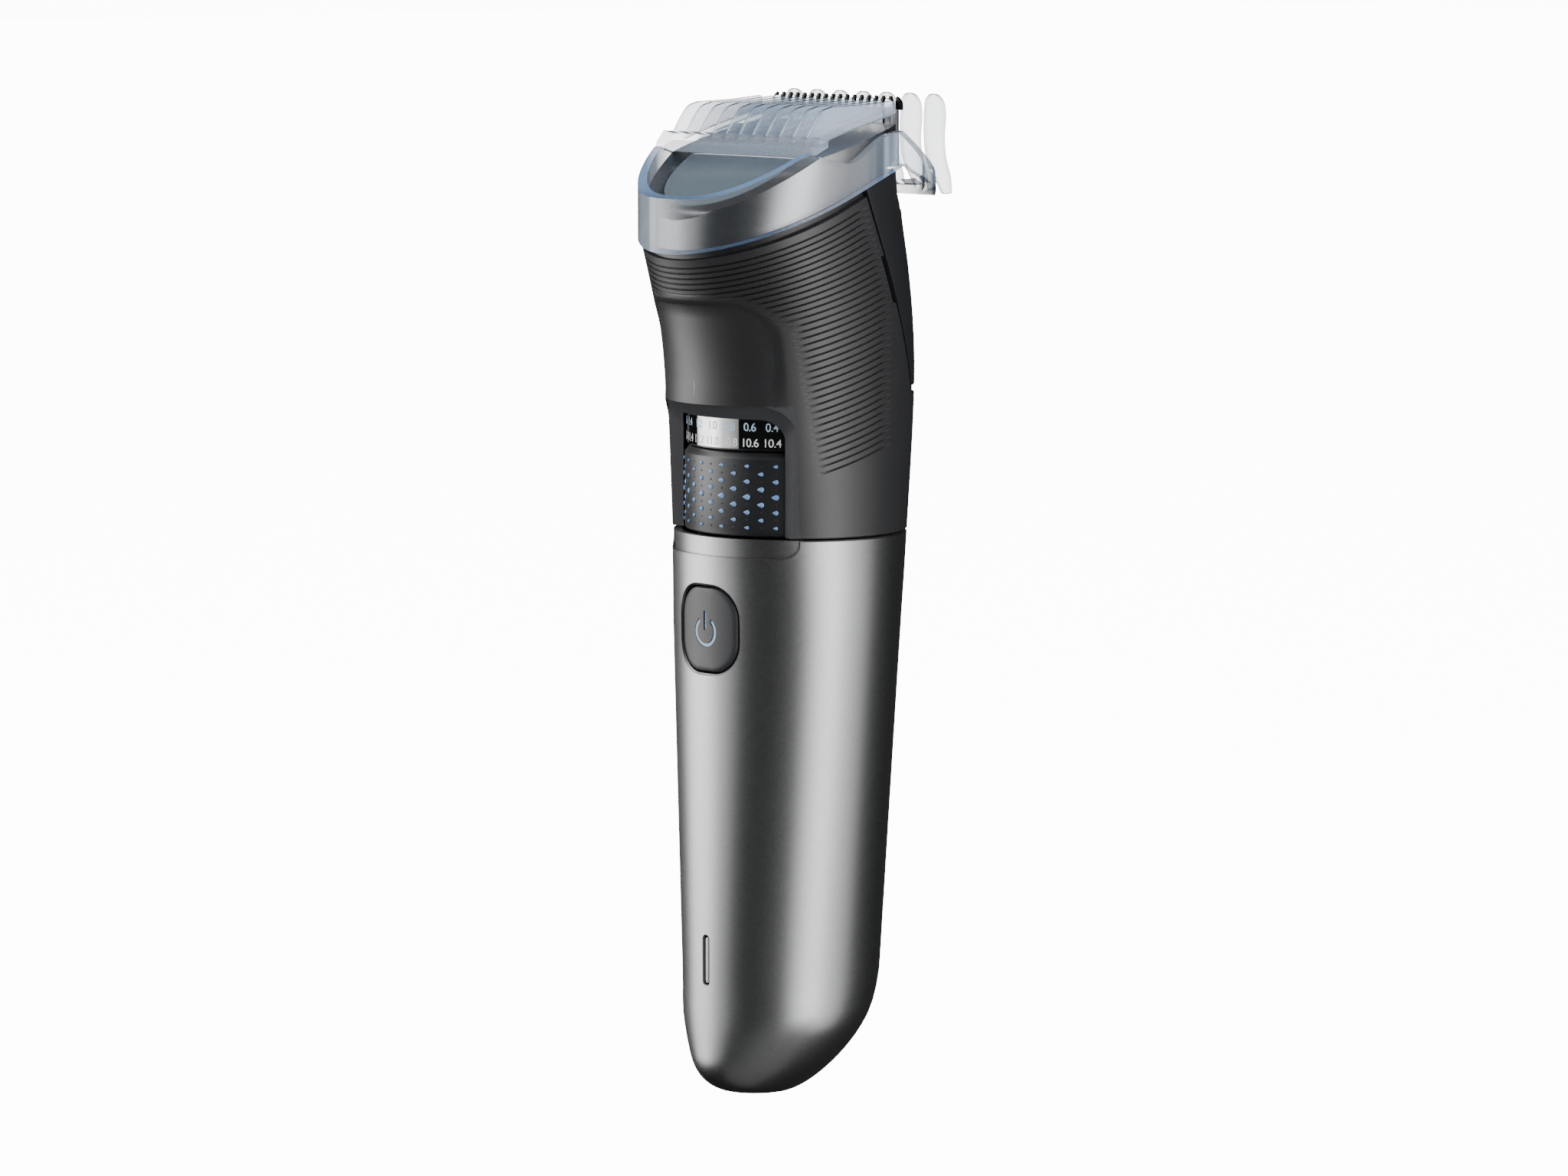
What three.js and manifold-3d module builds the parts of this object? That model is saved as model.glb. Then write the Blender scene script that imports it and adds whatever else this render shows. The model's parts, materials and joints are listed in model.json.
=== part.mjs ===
// Cordless beard trimmer with a zoom wheel, a comb carriage and a clear guide comb.
// Millimetres, +Z up, the front faces -Y and +X is to the right seen from the front.
// Pieces are drawn about the zoom wheel's axis; the outer group then moves that axis to its place.
import * as THREE from 'three';
import { mergeVertices } from 'three/addons/utils/BufferGeometryUtils.js';
import Module from 'manifold-3d';

const wasm = await Module();
wasm.setup();

// ---------------------------------------------------------------- driving dimensions
const AXIS_Y = 3.35;           // wheel axis, behind the middle of the object's depth
const GAP = 0.3;               // between pieces that touch or nearly touch
const WALL = 1.8;              // shells
const HANDLE_TOP = 96.4;
const HOUSING_BOTTOM = HANDLE_TOP + GAP;
const WHEEL = { radius: 17.8, bore: 14.7, bottom: 97.1, top: 110.9 };
const BAND = { radius: 17.5, bottom: 111.2, top: 117 };
const CAM = { outer: 14.4, inner: 13.0, bottom: 97.4, top: 117 };
const WINDOW = { jambY: -12.6, half: 16.2, top: 119, ledgeZ: 116.5, corner: 4 };
const WHEEL_ROOM_TOP = 118.1;
const WHEEL_TURN = { down: 38.6, up: 270 };              // degrees from the rest setting
const COMB_TRAVEL = { down: 1.2, up: 8.4 };              // the same turn as carriage travel
const BUTTON = { z: 80.6, width: 13.8, height: 14.4, corner: 5.2, clear: 0.3, stroke: 0.6 };
const LIGHT_SLOT = { bottom: 19.6, top: 28.1, width: 1.5 };
const BATTERY = { radius: 7.1, bottom: 24.5, length: 50 };
const BOARD = { half: 8, front: -10.6, back: -9.4, bottom: 18.5, top: 92.5 };
const MOTOR = { radius: 7.75, bottom: 101.5, top: 121.5, shaft: 1.0 };
const THROW = 0.9;                                       // eccentric pin, and half the blade stroke
const NECK = { z: 144, front: -28.4, slope: 0.42 };      // slanting plane under the comb's ring
const CORE = { half: 19.3, rear: 15.8, centre: -7, power: 3 };   // upright sleeve inside the carriage
const HEAD = { half: 18.9, front: -25.9, centre: -3.6, rear: 9.1, wall: 1.6 };
const RING = { half: 21.3, front: -27.5, rear: 21.2, centre: -3.6, wall: 1.6 };
const FRONT_POWER = 2.05;      // fullness of the front half of the core, the head and the ring
const TIP_Z = 170.6;
const BLADE = { pitch: 1.8, slot: 0.9, guardHalf: 16.3, cutterHalf: 15.3 };

// Outer body: height, front Y, rear Y, half width, and how square the rear half is.
const STATIONS = [
  [24, -19.1, 15.4, 16.9, 2],
  [78.6, -19.3, 18.1, 20.2, 2],
  [95.3, -19.7, 19.6, 20.5, 2],
  [120.6, -21.7, 21.7, 20.8, 2],
  [131, -22.8, 20.9, 21, 2.1],
  [140.6, -25.3, 19.4, 21.1, 2.2],
  [151.6, -28.6, 17.0, 20.8, 2.4],
  [166, -31, 16.2, 20.6, 2.4],
];
// Foot: the flat it stands on, and the height and fullness of the rounding on each side.
const FOOT = {
  front: { flat: -9.3, height: 6.7, power: 2.4 },
  rear: { flat: -1.3, height: 20.8, power: 1.62 },
  side: { flat: 4, height: 14.6, power: 1.49 },
};

// ---------------------------------------------------------------- solids
function toSolid(geometry) {
  geometry.deleteAttribute('normal');
  geometry.deleteAttribute('uv');
  const merged = mergeVertices(geometry, 1e-5);
  return new wasm.Manifold(new wasm.Mesh({
    numProp: 3,
    vertProperties: new Float32Array(merged.attributes.position.array),
    triVerts: new Uint32Array(merged.index.array),
  }));
}

function toGeometry(solid) {
  const mesh = solid.getMesh();
  const geometry = new THREE.BufferGeometry();
  geometry.setAttribute('position', new THREE.BufferAttribute(mesh.vertProperties, 3));
  geometry.setIndex(new THREE.BufferAttribute(mesh.triVerts, 1));
  geometry.computeVertexNormals();
  return geometry;
}

function box(x, y, z) {
  const geometry = new THREE.BoxGeometry(x[1] - x[0], y[1] - y[0], z[1] - z[0]);
  geometry.translate((x[0] + x[1]) / 2, (y[0] + y[1]) / 2, (z[0] + z[1]) / 2);
  return toSolid(geometry);
}

// An upright round bar, centred at (x, y).
function rod(radius, z, x = 0, y = 0, sides = 32) {
  const geometry = new THREE.CylinderGeometry(radius, radius, z[1] - z[0], sides);
  geometry.rotateX(Math.PI / 2);
  geometry.translate(x, y, (z[0] + z[1]) / 2);
  return toSolid(geometry);
}

// A round bar that lies along Y, centred at (x, z).
function barY(radius, y, x, z, sides = 16) {
  const geometry = new THREE.CylinderGeometry(radius, radius, y[1] - y[0], sides);
  geometry.translate(x, (y[0] + y[1]) / 2, z);
  return toSolid(geometry);
}

function tube(outer, inner, z, sides) {
  return rod(outer, z, 0, 0, sides).subtract(rod(inner, [z[0] - 1, z[1] + 1], 0, 0, sides));
}

function shapeOf(points) {
  return new THREE.Shape(points.map(([a, b]) => new THREE.Vector2(a, b)));
}

function extrude(shape, depth, curveSegments = 8) {
  return new THREE.ExtrudeGeometry(shape, { depth, bevelEnabled: false, curveSegments });
}

// Plan outline in (X, Y), extruded upwards.
function prismZ(points, z) {
  const geometry = extrude(shapeOf(points), z[1] - z[0]);
  geometry.translate(0, 0, z[0]);
  return toSolid(geometry);
}

// Side outline in (Y, Z), extruded along X.
function prismX(points, x) {
  const geometry = extrude(shapeOf(points), x[1] - x[0]);
  const axes = new THREE.Matrix4().makeBasis(
    new THREE.Vector3(0, 1, 0), new THREE.Vector3(0, 0, 1), new THREE.Vector3(1, 0, 0));
  geometry.applyMatrix4(axes);
  geometry.translate(x[0], 0, 0);
  return toSolid(geometry);
}

// Front outline as a rounded rectangle in (X, Z), extruded along Y.
function roundedY(width, height, corner, y, x = 0, z = 0) {
  const shape = new THREE.Shape();
  const a = width / 2;
  const b = height / 2;
  shape.moveTo(-a + corner, -b);
  shape.lineTo(a - corner, -b);
  shape.absarc(a - corner, -b + corner, corner, -Math.PI / 2, 0);
  shape.lineTo(a, b - corner);
  shape.absarc(a - corner, b - corner, corner, 0, Math.PI / 2);
  shape.lineTo(-a + corner, b);
  shape.absarc(-a + corner, b - corner, corner, Math.PI / 2, Math.PI);
  shape.lineTo(-a, -b + corner);
  shape.absarc(-a + corner, -b + corner, corner, Math.PI, Math.PI * 1.5);
  const geometry = extrude(shape, y[1] - y[0], 6);
  geometry.rotateX(Math.PI / 2);
  geometry.translate(x, y[1], z);
  return toSolid(geometry);
}

// ---------------------------------------------------------------- outer body
// Smooth curve through the stations, with slopes taken across each station's neighbours.
function station(z, column) {
  const last = STATIONS.length - 1;
  let i = STATIONS.findIndex((row) => row[0] > z) - 1;
  if (i === -2) i = last - 1;
  i = Math.max(i, 0);
  const slope = (k) => {
    const a = STATIONS[Math.max(k - 1, 0)];
    const b = STATIONS[Math.min(k + 1, last)];
    return (b[column] - a[column]) / (b[0] - a[0]);
  };
  const [p, q] = [STATIONS[i], STATIONS[i + 1]];
  const span = q[0] - p[0];
  const t = (z - p[0]) / span;
  if (t < 0) return p[column] + slope(i) * (z - p[0]);
  const h = t * t * (3 - 2 * t);
  return p[column] * (1 - h) + q[column] * h
    + slope(i) * span * t * (1 - t) ** 2 - slope(i + 1) * span * t * t * (1 - t);
}

function rounded(z, { height, power }) {
  return z >= height ? 1 : (1 - (1 - z / height) ** power) ** (1 / power);
}

function bodySection(z, inset) {
  const side = (column, foot) => foot.flat + (station(z, column) - foot.flat) * rounded(z, foot);
  return {
    front: side(1, FOOT.front) + inset,
    rear: side(2, FOOT.rear) - inset,
    half: side(3, FOOT.side) - inset,
    power: Math.max(2, station(z, 4)),
  };
}

// Points of a closed outline whose front and rear halves are superellipses about centreY.
function oval({ front, rear, half, centre, frontPower = 2, rearPower = 2 }, count) {
  const middle = centre ?? (front + rear) / 2;
  return Array.from({ length: count }, (_, i) => {
    const angle = (i / count) * 2 * Math.PI;
    const [c, s] = [Math.cos(angle), Math.sin(angle)];
    const power = s < 0 ? frontPower : rearPower;
    const reach = s < 0 ? middle - front : rear - middle;
    const x = half * Math.sign(c) * Math.abs(c) ** (2 / power);
    return [x, middle + reach * Math.sign(s) * Math.abs(s) ** (2 / power)];
  });
}

function bodyLoft(levels, inset, count = 40) {
  const rings = levels.map((z) => {
    const { front, rear, half, power } = bodySection(z, inset);
    return oval({ front, rear, half, rearPower: power }, count).map(([x, y]) => [x, y, z]);
  });
  const first = rings[0];
  const last = rings[rings.length - 1];
  const positions = [...rings.flat(2),
    0, (first[count / 4][1] + first[(3 * count) / 4][1]) / 2, first[0][2],
    0, (last[count / 4][1] + last[(3 * count) / 4][1]) / 2, last[0][2]];
  const index = [];
  const [bottom, top] = [rings.length * count, rings.length * count + 1];
  const lastRow = (rings.length - 1) * count;
  for (let i = 0; i < count; i += 1) {
    const j = (i + 1) % count;
    index.push(bottom, j, i, top, lastRow + i, lastRow + j);
    for (let row = 0; row < lastRow; row += count) {
      index.push(row + i, row + j, row + count + j, row + i, row + count + j, row + count + i);
    }
  }
  const geometry = new THREE.BufferGeometry();
  geometry.setAttribute('position', new THREE.Float32BufferAttribute(positions, 3));
  geometry.setIndex(index);
  return toSolid(geometry);
}

const neckZ = (y, offset = 0) => NECK.z + NECK.slope * (y - NECK.front) + offset;

// Everything under the slanting neck plane, moved by offset.
function underNeck(offset) {
  return prismX([[-60, 60], [60, 60], [60, neckZ(60, offset)], [-60, neckZ(-60, offset)]], [-40, 40]);
}

const UPPER_LEVELS = [HOUSING_BOTTOM, 101, 108, 114.5, 120.6, 127, 133.5, 140.6, 146, 151.6, 157, 163];

// ---------------------------------------------------------------- materials and placing
const finish = (color, roughness, metalness, more = {}) => (
  new THREE.MeshStandardMaterial({ color, roughness, metalness, ...more }));
const MATERIAL = {
  satinMetal: finish(0x77787b, 0.38, 0.9),
  silver: finish(0xa9acb0, 0.32, 0.9),
  softBlack: finish(0x3a3b3e, 0.62, 0),
  glossBlack: finish(0x0b0c0f, 0.08, 0),
  wheelBlack: finish(0x24272b, 0.5, 0),
  buttonGrey: finish(0x3c3e41, 0.5, 0),
  clear: finish(0xdce8f4, 0.08, 0, { transparent: true, opacity: 0.35 }),
  panelBlue: finish(0x7f93a6, 0.4, 0.2),
  steel: finish(0x9a9da0, 0.25, 1),
  bladeDark: finish(0x17181a, 0.3, 0.8),
  rubber: finish(0x1c1c1d, 0.85, 0),
  innerPlastic: finish(0x2d2f33, 0.6, 0),
  battery: finish(0x2f6ea8, 0.35, 0),
  boardGreen: finish(0x1d5b36, 0.5, 0),
  nickel: finish(0xb9b6ac, 0.3, 1),
  lightGuide: finish(0xdfe6ea, 0.3, 0),
  redSleeve: finish(0xa01c1c, 0.5, 0),
};

const trimmer = new THREE.Group();
trimmer.position.y = AXIS_Y;

function add(name, solid, material, parent = trimmer) {
  const mesh = new THREE.Mesh(toGeometry(solid), material);
  mesh.name = name;
  parent.add(mesh);
}

function mirrored(x, make) {
  return [make(-x), make(x)];
}

// ---------------------------------------------------------------- handle
const windowCut = (z) => {
  const { jambY, half } = WINDOW;
  return prismZ([[-half - 1, -40], [half + 1, -40], [half, jambY], [-half, jambY]], z);
};

function handleShell() {
  const floor = 2.4;
  const outer = bodyLoft([0, 0.7, 2, 4, 7, 11, 16, 24, 50, 78.6, HANDLE_TOP], 0);
  const inner = bodyLoft([floor, 5, 10, 16, 24, 78.6, HANDLE_TOP + 1], WALL, 24);
  const lipDepth = 0.8;
  const lip = bodyLoft([90, 100], -1).subtract(bodyLoft([90, 100], lipDepth))
    .intersect(roundedY(2 * WINDOW.half, 20, 2.4, [-40, WINDOW.jambY], 0, HANDLE_TOP + 6.8));
  const { z, width, height, corner, clear } = BUTTON;
  const buttonHole = roundedY(width + 2 * clear, height + 2 * clear, corner + clear, [-40, -10], 0, z);
  const slotHeight = LIGHT_SLOT.top - LIGHT_SLOT.bottom;
  const slot = roundedY(LIGHT_SLOT.width, slotHeight, 0.7, [-40, -10], 0,
    LIGHT_SLOT.bottom + slotHeight / 2);
  const port = box([-4.9, 4.9], [2.1, 5.9], [-1, 9]);
  return outer.subtract(inner).subtract(lip).subtract(buttonHole).subtract(slot).subtract(port);
}

function chargingSocket() {
  const body = box([-4.5, 4.5], [2.5, 5.5], [4.8, 13]);
  const mouth = box([-3.9, 3.9], [3, 5], [4, 10]);
  return body.subtract(mouth);
}

function socketSeal() {
  return box([-6, 6], [1.2, 6.8], [9.6, 10.8]).subtract(box([-4.8, 4.8], [2.2, 5.8], [9, 12]));
}

function powerButton() {
  const { z, width, height, corner } = BUTTON;
  const recess = 0.15;
  const cap = roundedY(width, height, corner, [-30, -14.8], 0, z).intersect(bodyLoft([60, 95], recess));
  return cap.add(roundedY(width + 2, height + 1.8, corner + 0.9, [-15.2, -14.4], 0, z));
}

function buttonSeal() {
  const { z, width, height, corner } = BUTTON;
  const rim = roundedY(width + 5, height + 4.6, corner + 2, [-14.2, -12.9], 0, z);
  return rim.subtract(roundedY(width + 3.2, height + 2.8, corner + 1.2, [-15, -13.4], 0, z));
}

function lightGuide() {
  const height = LIGHT_SLOT.top - LIGHT_SLOT.bottom - 2 * GAP;
  const middle = LIGHT_SLOT.bottom + GAP + height / 2;
  return roundedY(LIGHT_SLOT.width - 2 * GAP, height, 0.4, [-18.6, -12.7], 0, middle);
}

// ---------------------------------------------------------------- inside the handle
const SCREW = { head: 1.7, headHeight: 1.0, shank: 0.9, hole: 1.25 };
const FRAME_SCREWS = [[-5, 20.6], [5, 20.6], [-5, 91.2], [5, 91.2]];

function screwHoles(solid, y) {
  return FRAME_SCREWS.reduce((body, [x, z]) => body.subtract(barY(SCREW.hole, y, x, z)), solid);
}

function innerFrame() {
  const bay = 7.6;
  const block = box([-8.8, 8.8], [-9.1, 8.6], [18, 93]);
  const batteryBay = box([-bay, bay], [-20, bay], [22.8, 76.2]);
  const upperBay = box([-bay, bay], [-20, bay], [80, 89]);
  return screwHoles(block.subtract(batteryBay).subtract(upperBay), [-20, -3.5]);
}

function frameScrew([x, z]) {
  const head = barY(SCREW.head, [-11.9, -10.9], x, z);
  return head.add(barY(SCREW.shank, [-11.5, -4.5], x, z, 12));
}

function circuitBoard() {
  const { half, front, back, bottom, top } = BOARD;
  return screwHoles(box([-half, half], [front, back], [bottom, top]), [front - 1, back + 1]);
}

function batteryCell() {
  const { radius, bottom, length } = BATTERY;
  return rod(radius, [bottom, bottom + length - 0.8], 0, 0, 40)
    .add(rod(2.6, [bottom + length - 1, bottom + length], 0, 0, 20));
}

function tactSwitch() {
  return box([-3, 3], [-12.2, -10.9], [BUTTON.z - 3, BUTTON.z + 3])
    .add(barY(1.2, [-12.6, -12], 0, BUTTON.z));
}

function motorLead(x) {
  const path = new THREE.CatmullRomCurve3([
    [x, -10, 92.8], [x, -10, 96.4], [x, -8.6, 97.6], [x, -6, 98.2], [x, -4.8, 98.9],
  ].map((point) => new THREE.Vector3(...point)));
  const section = new THREE.Shape();
  section.absarc(0, 0, 0.5, 0, 2 * Math.PI);
  return toSolid(new THREE.ExtrudeGeometry(section, { extrudePath: path, steps: 14, curveSegments: 4 }));
}

// ---------------------------------------------------------------- motor and its bracket
function motorBracket() {
  const disc = rod(15.7, [94.2, 95.8], 0, 0, 48);
  const cup = rod(9.4, [95.5, 106], 0, 0, 40).subtract(rod(8.1, [98.4, 107], 0, 0, 40));
  const leadWay = box([-4.4, 4.4], [-12, -3], [94, 101]);
  return disc.add(cup).subtract(leadWay);
}

function motorCan() {
  const { radius, bottom, top, shaft } = MOTOR;
  return rod(radius, [bottom, top], 0, 0, 40).add(rod(3, [top - 1, top + 1.5], 0, 0, 24))
    .subtract(rod(shaft + GAP, [bottom + 3, top + 3], 0, 0, 16));
}

function jointSeal() {
  const section = new THREE.Path();
  section.absarc(16.65, 94.4, 0.6, 0, 2 * Math.PI);
  const geometry = new THREE.LatheGeometry(section.getPoints(3), 40);
  geometry.rotateX(Math.PI / 2);
  return toSolid(geometry);
}

function eccentric() {
  const hub = rod(3, [126, 132], 0, 0, 24).subtract(rod(MOTOR.shaft + GAP, [125, 130.8], 0, 0, 16));
  return hub.add(rod(1, [131.5, 136.4], THROW, 0, 16));
}

// ---------------------------------------------------------------- zoom wheel
function zoomWheel() {
  const { radius, bore, bottom, top } = WHEEL;
  const edge = 0.4;
  const profile = [[bore, bottom], [radius - edge, bottom], [radius, bottom + edge],
    [radius, top - edge], [radius - edge, top], [bore, top], [bore, bottom]];
  const geometry = new THREE.LatheGeometry(profile.map(([r, z]) => new THREE.Vector2(r, z)), 60);
  geometry.rotateX(Math.PI / 2);
  return toSolid(geometry);
}

// Cam slot: it winds round the ring so that a full turn of the wheel lifts the follower pin steadily.
const FOLLOWER = { z: 102, radius: 0.7 };
const LIFT = (COMB_TRAVEL.up + COMB_TRAVEL.down) / (WHEEL_TURN.up + WHEEL_TURN.down);

function camRing() {
  const [spare, steps] = [6, 30];
  const [inside, outside, halfWidth] = [CAM.inner - 1, CAM.outer + 1, FOLLOWER.radius + 0.4];
  const positions = [];
  for (let i = 0; i <= steps; i += 1) {
    const turn = -WHEEL_TURN.down - spare + (i / steps) * (WHEEL_TURN.down + WHEEL_TURN.up + 2 * spare);
    const angle = THREE.MathUtils.degToRad(90 - turn);
    const z = FOLLOWER.z + LIFT * turn;
    for (const [r, dz] of [[inside, -halfWidth], [outside, -halfWidth], [outside, halfWidth],
      [inside, halfWidth]]) {
      positions.push(r * Math.cos(angle), r * Math.sin(angle), z + dz);
    }
  }
  const index = [0, 2, 1, 0, 3, 2];
  for (let i = 0; i < steps; i += 1) {
    for (let k = 0; k < 4; k += 1) {
      const [a, b] = [4 * i + k, 4 * i + ((k + 1) % 4)];
      index.push(a, b, a + 4, b, b + 4, a + 4);
    }
  }
  const end = 4 * steps;
  index.push(end, end + 1, end + 2, end, end + 2, end + 3);
  const geometry = new THREE.BufferGeometry();
  geometry.setAttribute('position', new THREE.Float32BufferAttribute(positions, 3));
  geometry.setIndex(index);
  return tube(CAM.outer, CAM.inner, [CAM.bottom, CAM.top], 40).subtract(toSolid(geometry));
}

// ---------------------------------------------------------------- upper housing and carriage
const SEAM = { top: { y: -1.3, z: 154.4 }, slope: 0.405, bottom: 119.8, gap: 0.75 };
const seamY = (z, gap = 0) => SEAM.top.y + gap + (SEAM.top.z - z) * SEAM.slope;
const TONGUE = { half: 3.4, y: [10.8, 11.9], bottom: 99, bridge: 135.5, top: 141 };
// The carriage's thin lower skirt slides over a lip on the housing.
const LIP = { height: 2, inset: 1.3, skirt: 1.0 };
const REAR_LEVELS = [112, 116, ...UPPER_LEVELS.slice(4)];

function slab(low, high) {
  return box([-40, 40], [-40, 40], [low, high]);
}

function corePrism(inset, z) {
  const { half, rear, centre, power } = CORE;
  return prismZ(oval({ front: HEAD.front + inset, rear: rear - inset, half: half - inset, centre,
    frontPower: FRONT_POWER, rearPower: power }, 48), z);
}

function upperHousing() {
  const lip = bodyLoft(REAR_LEVELS, LIP.inset).intersect(slab(SEAM.bottom - 1, SEAM.bottom + LIP.height));
  const carriageRoom = prismX([[seamY(175), 175], [seamY(SEAM.bottom), SEAM.bottom],
    [40, SEAM.bottom], [40, 175]], [-40, 40]).subtract(lip);
  const rimDrop = -1.6;
  const outer = bodyLoft(UPPER_LEVELS, 0).subtract(carriageRoom).intersect(underNeck(rimDrop));
  const sleeve = corePrism(0, [119, 157.6]).intersect(underNeck(-0.4))
    .intersect(bodyLoft([118, 127, 133.5, 140.6, 151.6, 158], 0.4)).intersect(ringPrism(RING.wall + GAP));
  const cavity = bodyLoft([118, ...UPPER_LEVELS.slice(4)], WALL, 24)
    .intersect(corePrism(1.3, [117.9, 170]));
  const wheelRoom = rod(WHEEL.radius + GAP, [HOUSING_BOTTOM - 1, WHEEL_ROOM_TOP], 0, 0, 60);
  const wayTop = TONGUE.top + COMB_TRAVEL.up + 0.5;
  const wayBottom = TONGUE.bridge - COMB_TRAVEL.down - 0.5;
  const tongueWay = box([-TONGUE.half - 0.4, TONGUE.half + 0.4], [8, 30], [wayBottom, wayTop]);
  const { half, corner, top, ledgeZ } = WINDOW;
  const ledge = prismX([[-40, 60], [0, 60], [0, ledgeZ], [-18.1, ledgeZ], [-21.5, top], [-40, top + 1]],
    [-40, 40]);
  const front = windowCut([90, 125]).intersect(ledge)
    .intersect(roundedY(2 * half, 60, corner, [-40, 0], 0, top - 30));
  return outer.add(sleeve).subtract(cavity).subtract(wheelRoom).subtract(tongueWay).subtract(front);
}

function combCarriage() {
  const bottom = SEAM.bottom + COMB_TRAVEL.down + GAP;
  const horn = { front: 155, peakY: 7.2, peak: 158.4, rearY: 10.2, rear: 157.2 };
  const side = prismX([[seamY(horn.front, SEAM.gap), horn.front], [seamY(bottom, SEAM.gap), bottom],
    [40, bottom], [40, 151], [horn.rearY + 0.4, 151], [horn.rearY, horn.rear],
    [horn.peakY, horn.peak]], [-40, 40]);
  const skirtTop = bottom + LIP.height;
  const hollow = bodyLoft(REAR_LEVELS, WALL).intersect(slab(skirtTop, TONGUE.bridge - 1.5));
  const relief = bodyLoft(REAR_LEVELS, LIP.skirt).intersect(slab(bottom - 1, skirtTop));
  const panel = bodyLoft(REAR_LEVELS, 0).intersect(side).subtract(corePrism(-GAP, [115, 170]))
    .subtract(hollow).subtract(relief);
  const { half, y, bridge, top } = TONGUE;
  return panel.add(box([-half, half], y, [TONGUE.bottom, top]))
    .add(box([-half, half], [y[0], 16.6], [bridge, top]));
}

// ---------------------------------------------------------------- head
const HEAD_TOP = [[9.1, 165.6], [4, 164.4], [-10, 160.4], [-24.2, 151.8], [-25.8, 150.2], [-27.5, 147]];

function headPrism(inset, z) {
  const { half, front, centre } = HEAD;
  const rear = CORE.rear - 0.5;
  return prismZ(oval({ front: front + inset, rear: rear - inset, half: half - inset, centre,
    frontPower: FRONT_POWER, rearPower: 4 }, 48), z);
}

function headHousing() {
  const { wall, rear } = HEAD;
  const outline = [...HEAD_TOP, [-27.5, neckZ(-27.5)], [rear, neckZ(rear)]];
  const hollow = [[10.8, 163.7], [3.6, 162.8], [-10.4, 158.7], [-23.4, 150.7], [-24.6, 149.4],
    [-24.6, 140], [10.8, 140]];
  return prismX(outline, [-25, 25]).intersect(headPrism(0, [140, 175])).intersect(corePrism(0.4, [140, 175]))
    .subtract(prismX(hollow, [-25, 25]).intersect(headPrism(wall, [135, 175]))
      .intersect(corePrism(wall + 0.4, [135, 175])))
    .subtract(topPanelBlock(0, -1));
}

// U-shaped panel let into the head's sloping top; margin shrinks it and floor is its depth.
function topPanelBlock(margin, floor) {
  const [high, low] = [HEAD_TOP[2], HEAD_TOP[3]];
  const plan = prismZ(oval({ front: -23.2 + margin, rear: -10.8 - margin, half: 13.4 - margin,
    centre: -11.3, frontPower: 2.1, rearPower: 8 }, 40), [140, 175]);
  const lid = margin > 0 ? -0.1 : 3;
  const slab = prismX([[low[0], low[1] + floor], [high[0], high[1] + floor],
    [high[0], high[1] + lid], [low[0], low[1] + lid]], [-20, 20]);
  return plan.intersect(slab);
}

function toothedPlate({ half, y, z, depth }) {
  const plate = box([-half, half], y, z);
  const count = 2 * Math.floor((half - 1) / BLADE.pitch);
  let blade = plate;
  for (let i = 0; i <= count; i += 1) {
    const x = (i - count / 2) * BLADE.pitch;
    blade = blade.subtract(box([x - BLADE.slot / 2, x + BLADE.slot / 2], [y[0] - 1, y[1] + 1],
      [z[1] - depth, z[1] + 1]));
  }
  return blade;
}

const BLADE_SCREW = { x: 8.8, z: 162.6 };

function guardBlade() {
  const plate = toothedPlate({ half: BLADE.guardHalf, y: [10.7, 11.4], z: [160.4, TIP_Z], depth: 2.4 });
  return mirrored(BLADE_SCREW.x, (x) => barY(1.15, [10, 13], x, BLADE_SCREW.z))
    .reduce((body, hole) => body.subtract(hole), plate);
}

function bladeCarrier() {
  const side = [[11.7, 159.9], [13.2, 160.3], [13.2, 164.4], [12.1, 167.4], [11.7, 167.4]];
  const block = prismX(side, [-13, 13]);
  const holes = (radius, y) => mirrored(BLADE_SCREW.x, (x) => barY(radius, y, x, BLADE_SCREW.z));
  return [...holes(1.15, [10.8, 13.8]), ...holes(1.85, [12.1, 13.8])]
    .reduce((body, hole) => body.subtract(hole), block);
}

function bladeScrew(x) {
  return barY(1.5, [12.4, 13.1], x, BLADE_SCREW.z).add(barY(0.8, [10.8, 12.6], x, BLADE_SCREW.z, 12));
}

function bladeSpring() {
  const thickness = 0.3;
  const [reach, y, tip] = [9, 7, 9.2];
  const plan = [[-reach, tip], [-reach + 1.5, y], [reach - 1.5, y], [reach, tip],
    [reach - thickness, tip], [reach - 1.7, y + thickness], [-reach + 1.7, y + thickness],
    [-reach + thickness, tip]];
  return prismZ(plan, [161.2, 162.8]);
}

function driveFork() {
  const bar = box([-2, 2], [8, 9.2], [134, 163]);
  const pad = box([-4, 4], [8.2, 9.4], [160.8, 163]);
  const arm = box([-4.3, 4.3], [-3.6, 9.2], [133.4, 136]);
  const reach = THROW + 1 + GAP;
  const slot = box([-reach - THROW, reach + THROW], [-reach, reach], [130, 140]);
  return bar.add(pad).add(arm).subtract(slot);
}

// ---------------------------------------------------------------- guide comb
const TOOTH = { count: 7, pitch: 5.87, thickness: 1.4 };
const RIB = { count: 11, pitch: 3.37, thickness: 1.2 };

function ringPrism(inset) {
  const { half, front, rear, centre } = RING;
  return prismZ(oval({ front: front + inset, rear: rear - inset, half: half - inset, centre,
    frontPower: FRONT_POWER, rearPower: 4 }, 56), [130, 180]);
}

function evenly(count, pitch, make) {
  return Array.from({ length: count }, (_, i) => make((i - (count - 1) / 2) * pitch));
}

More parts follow.
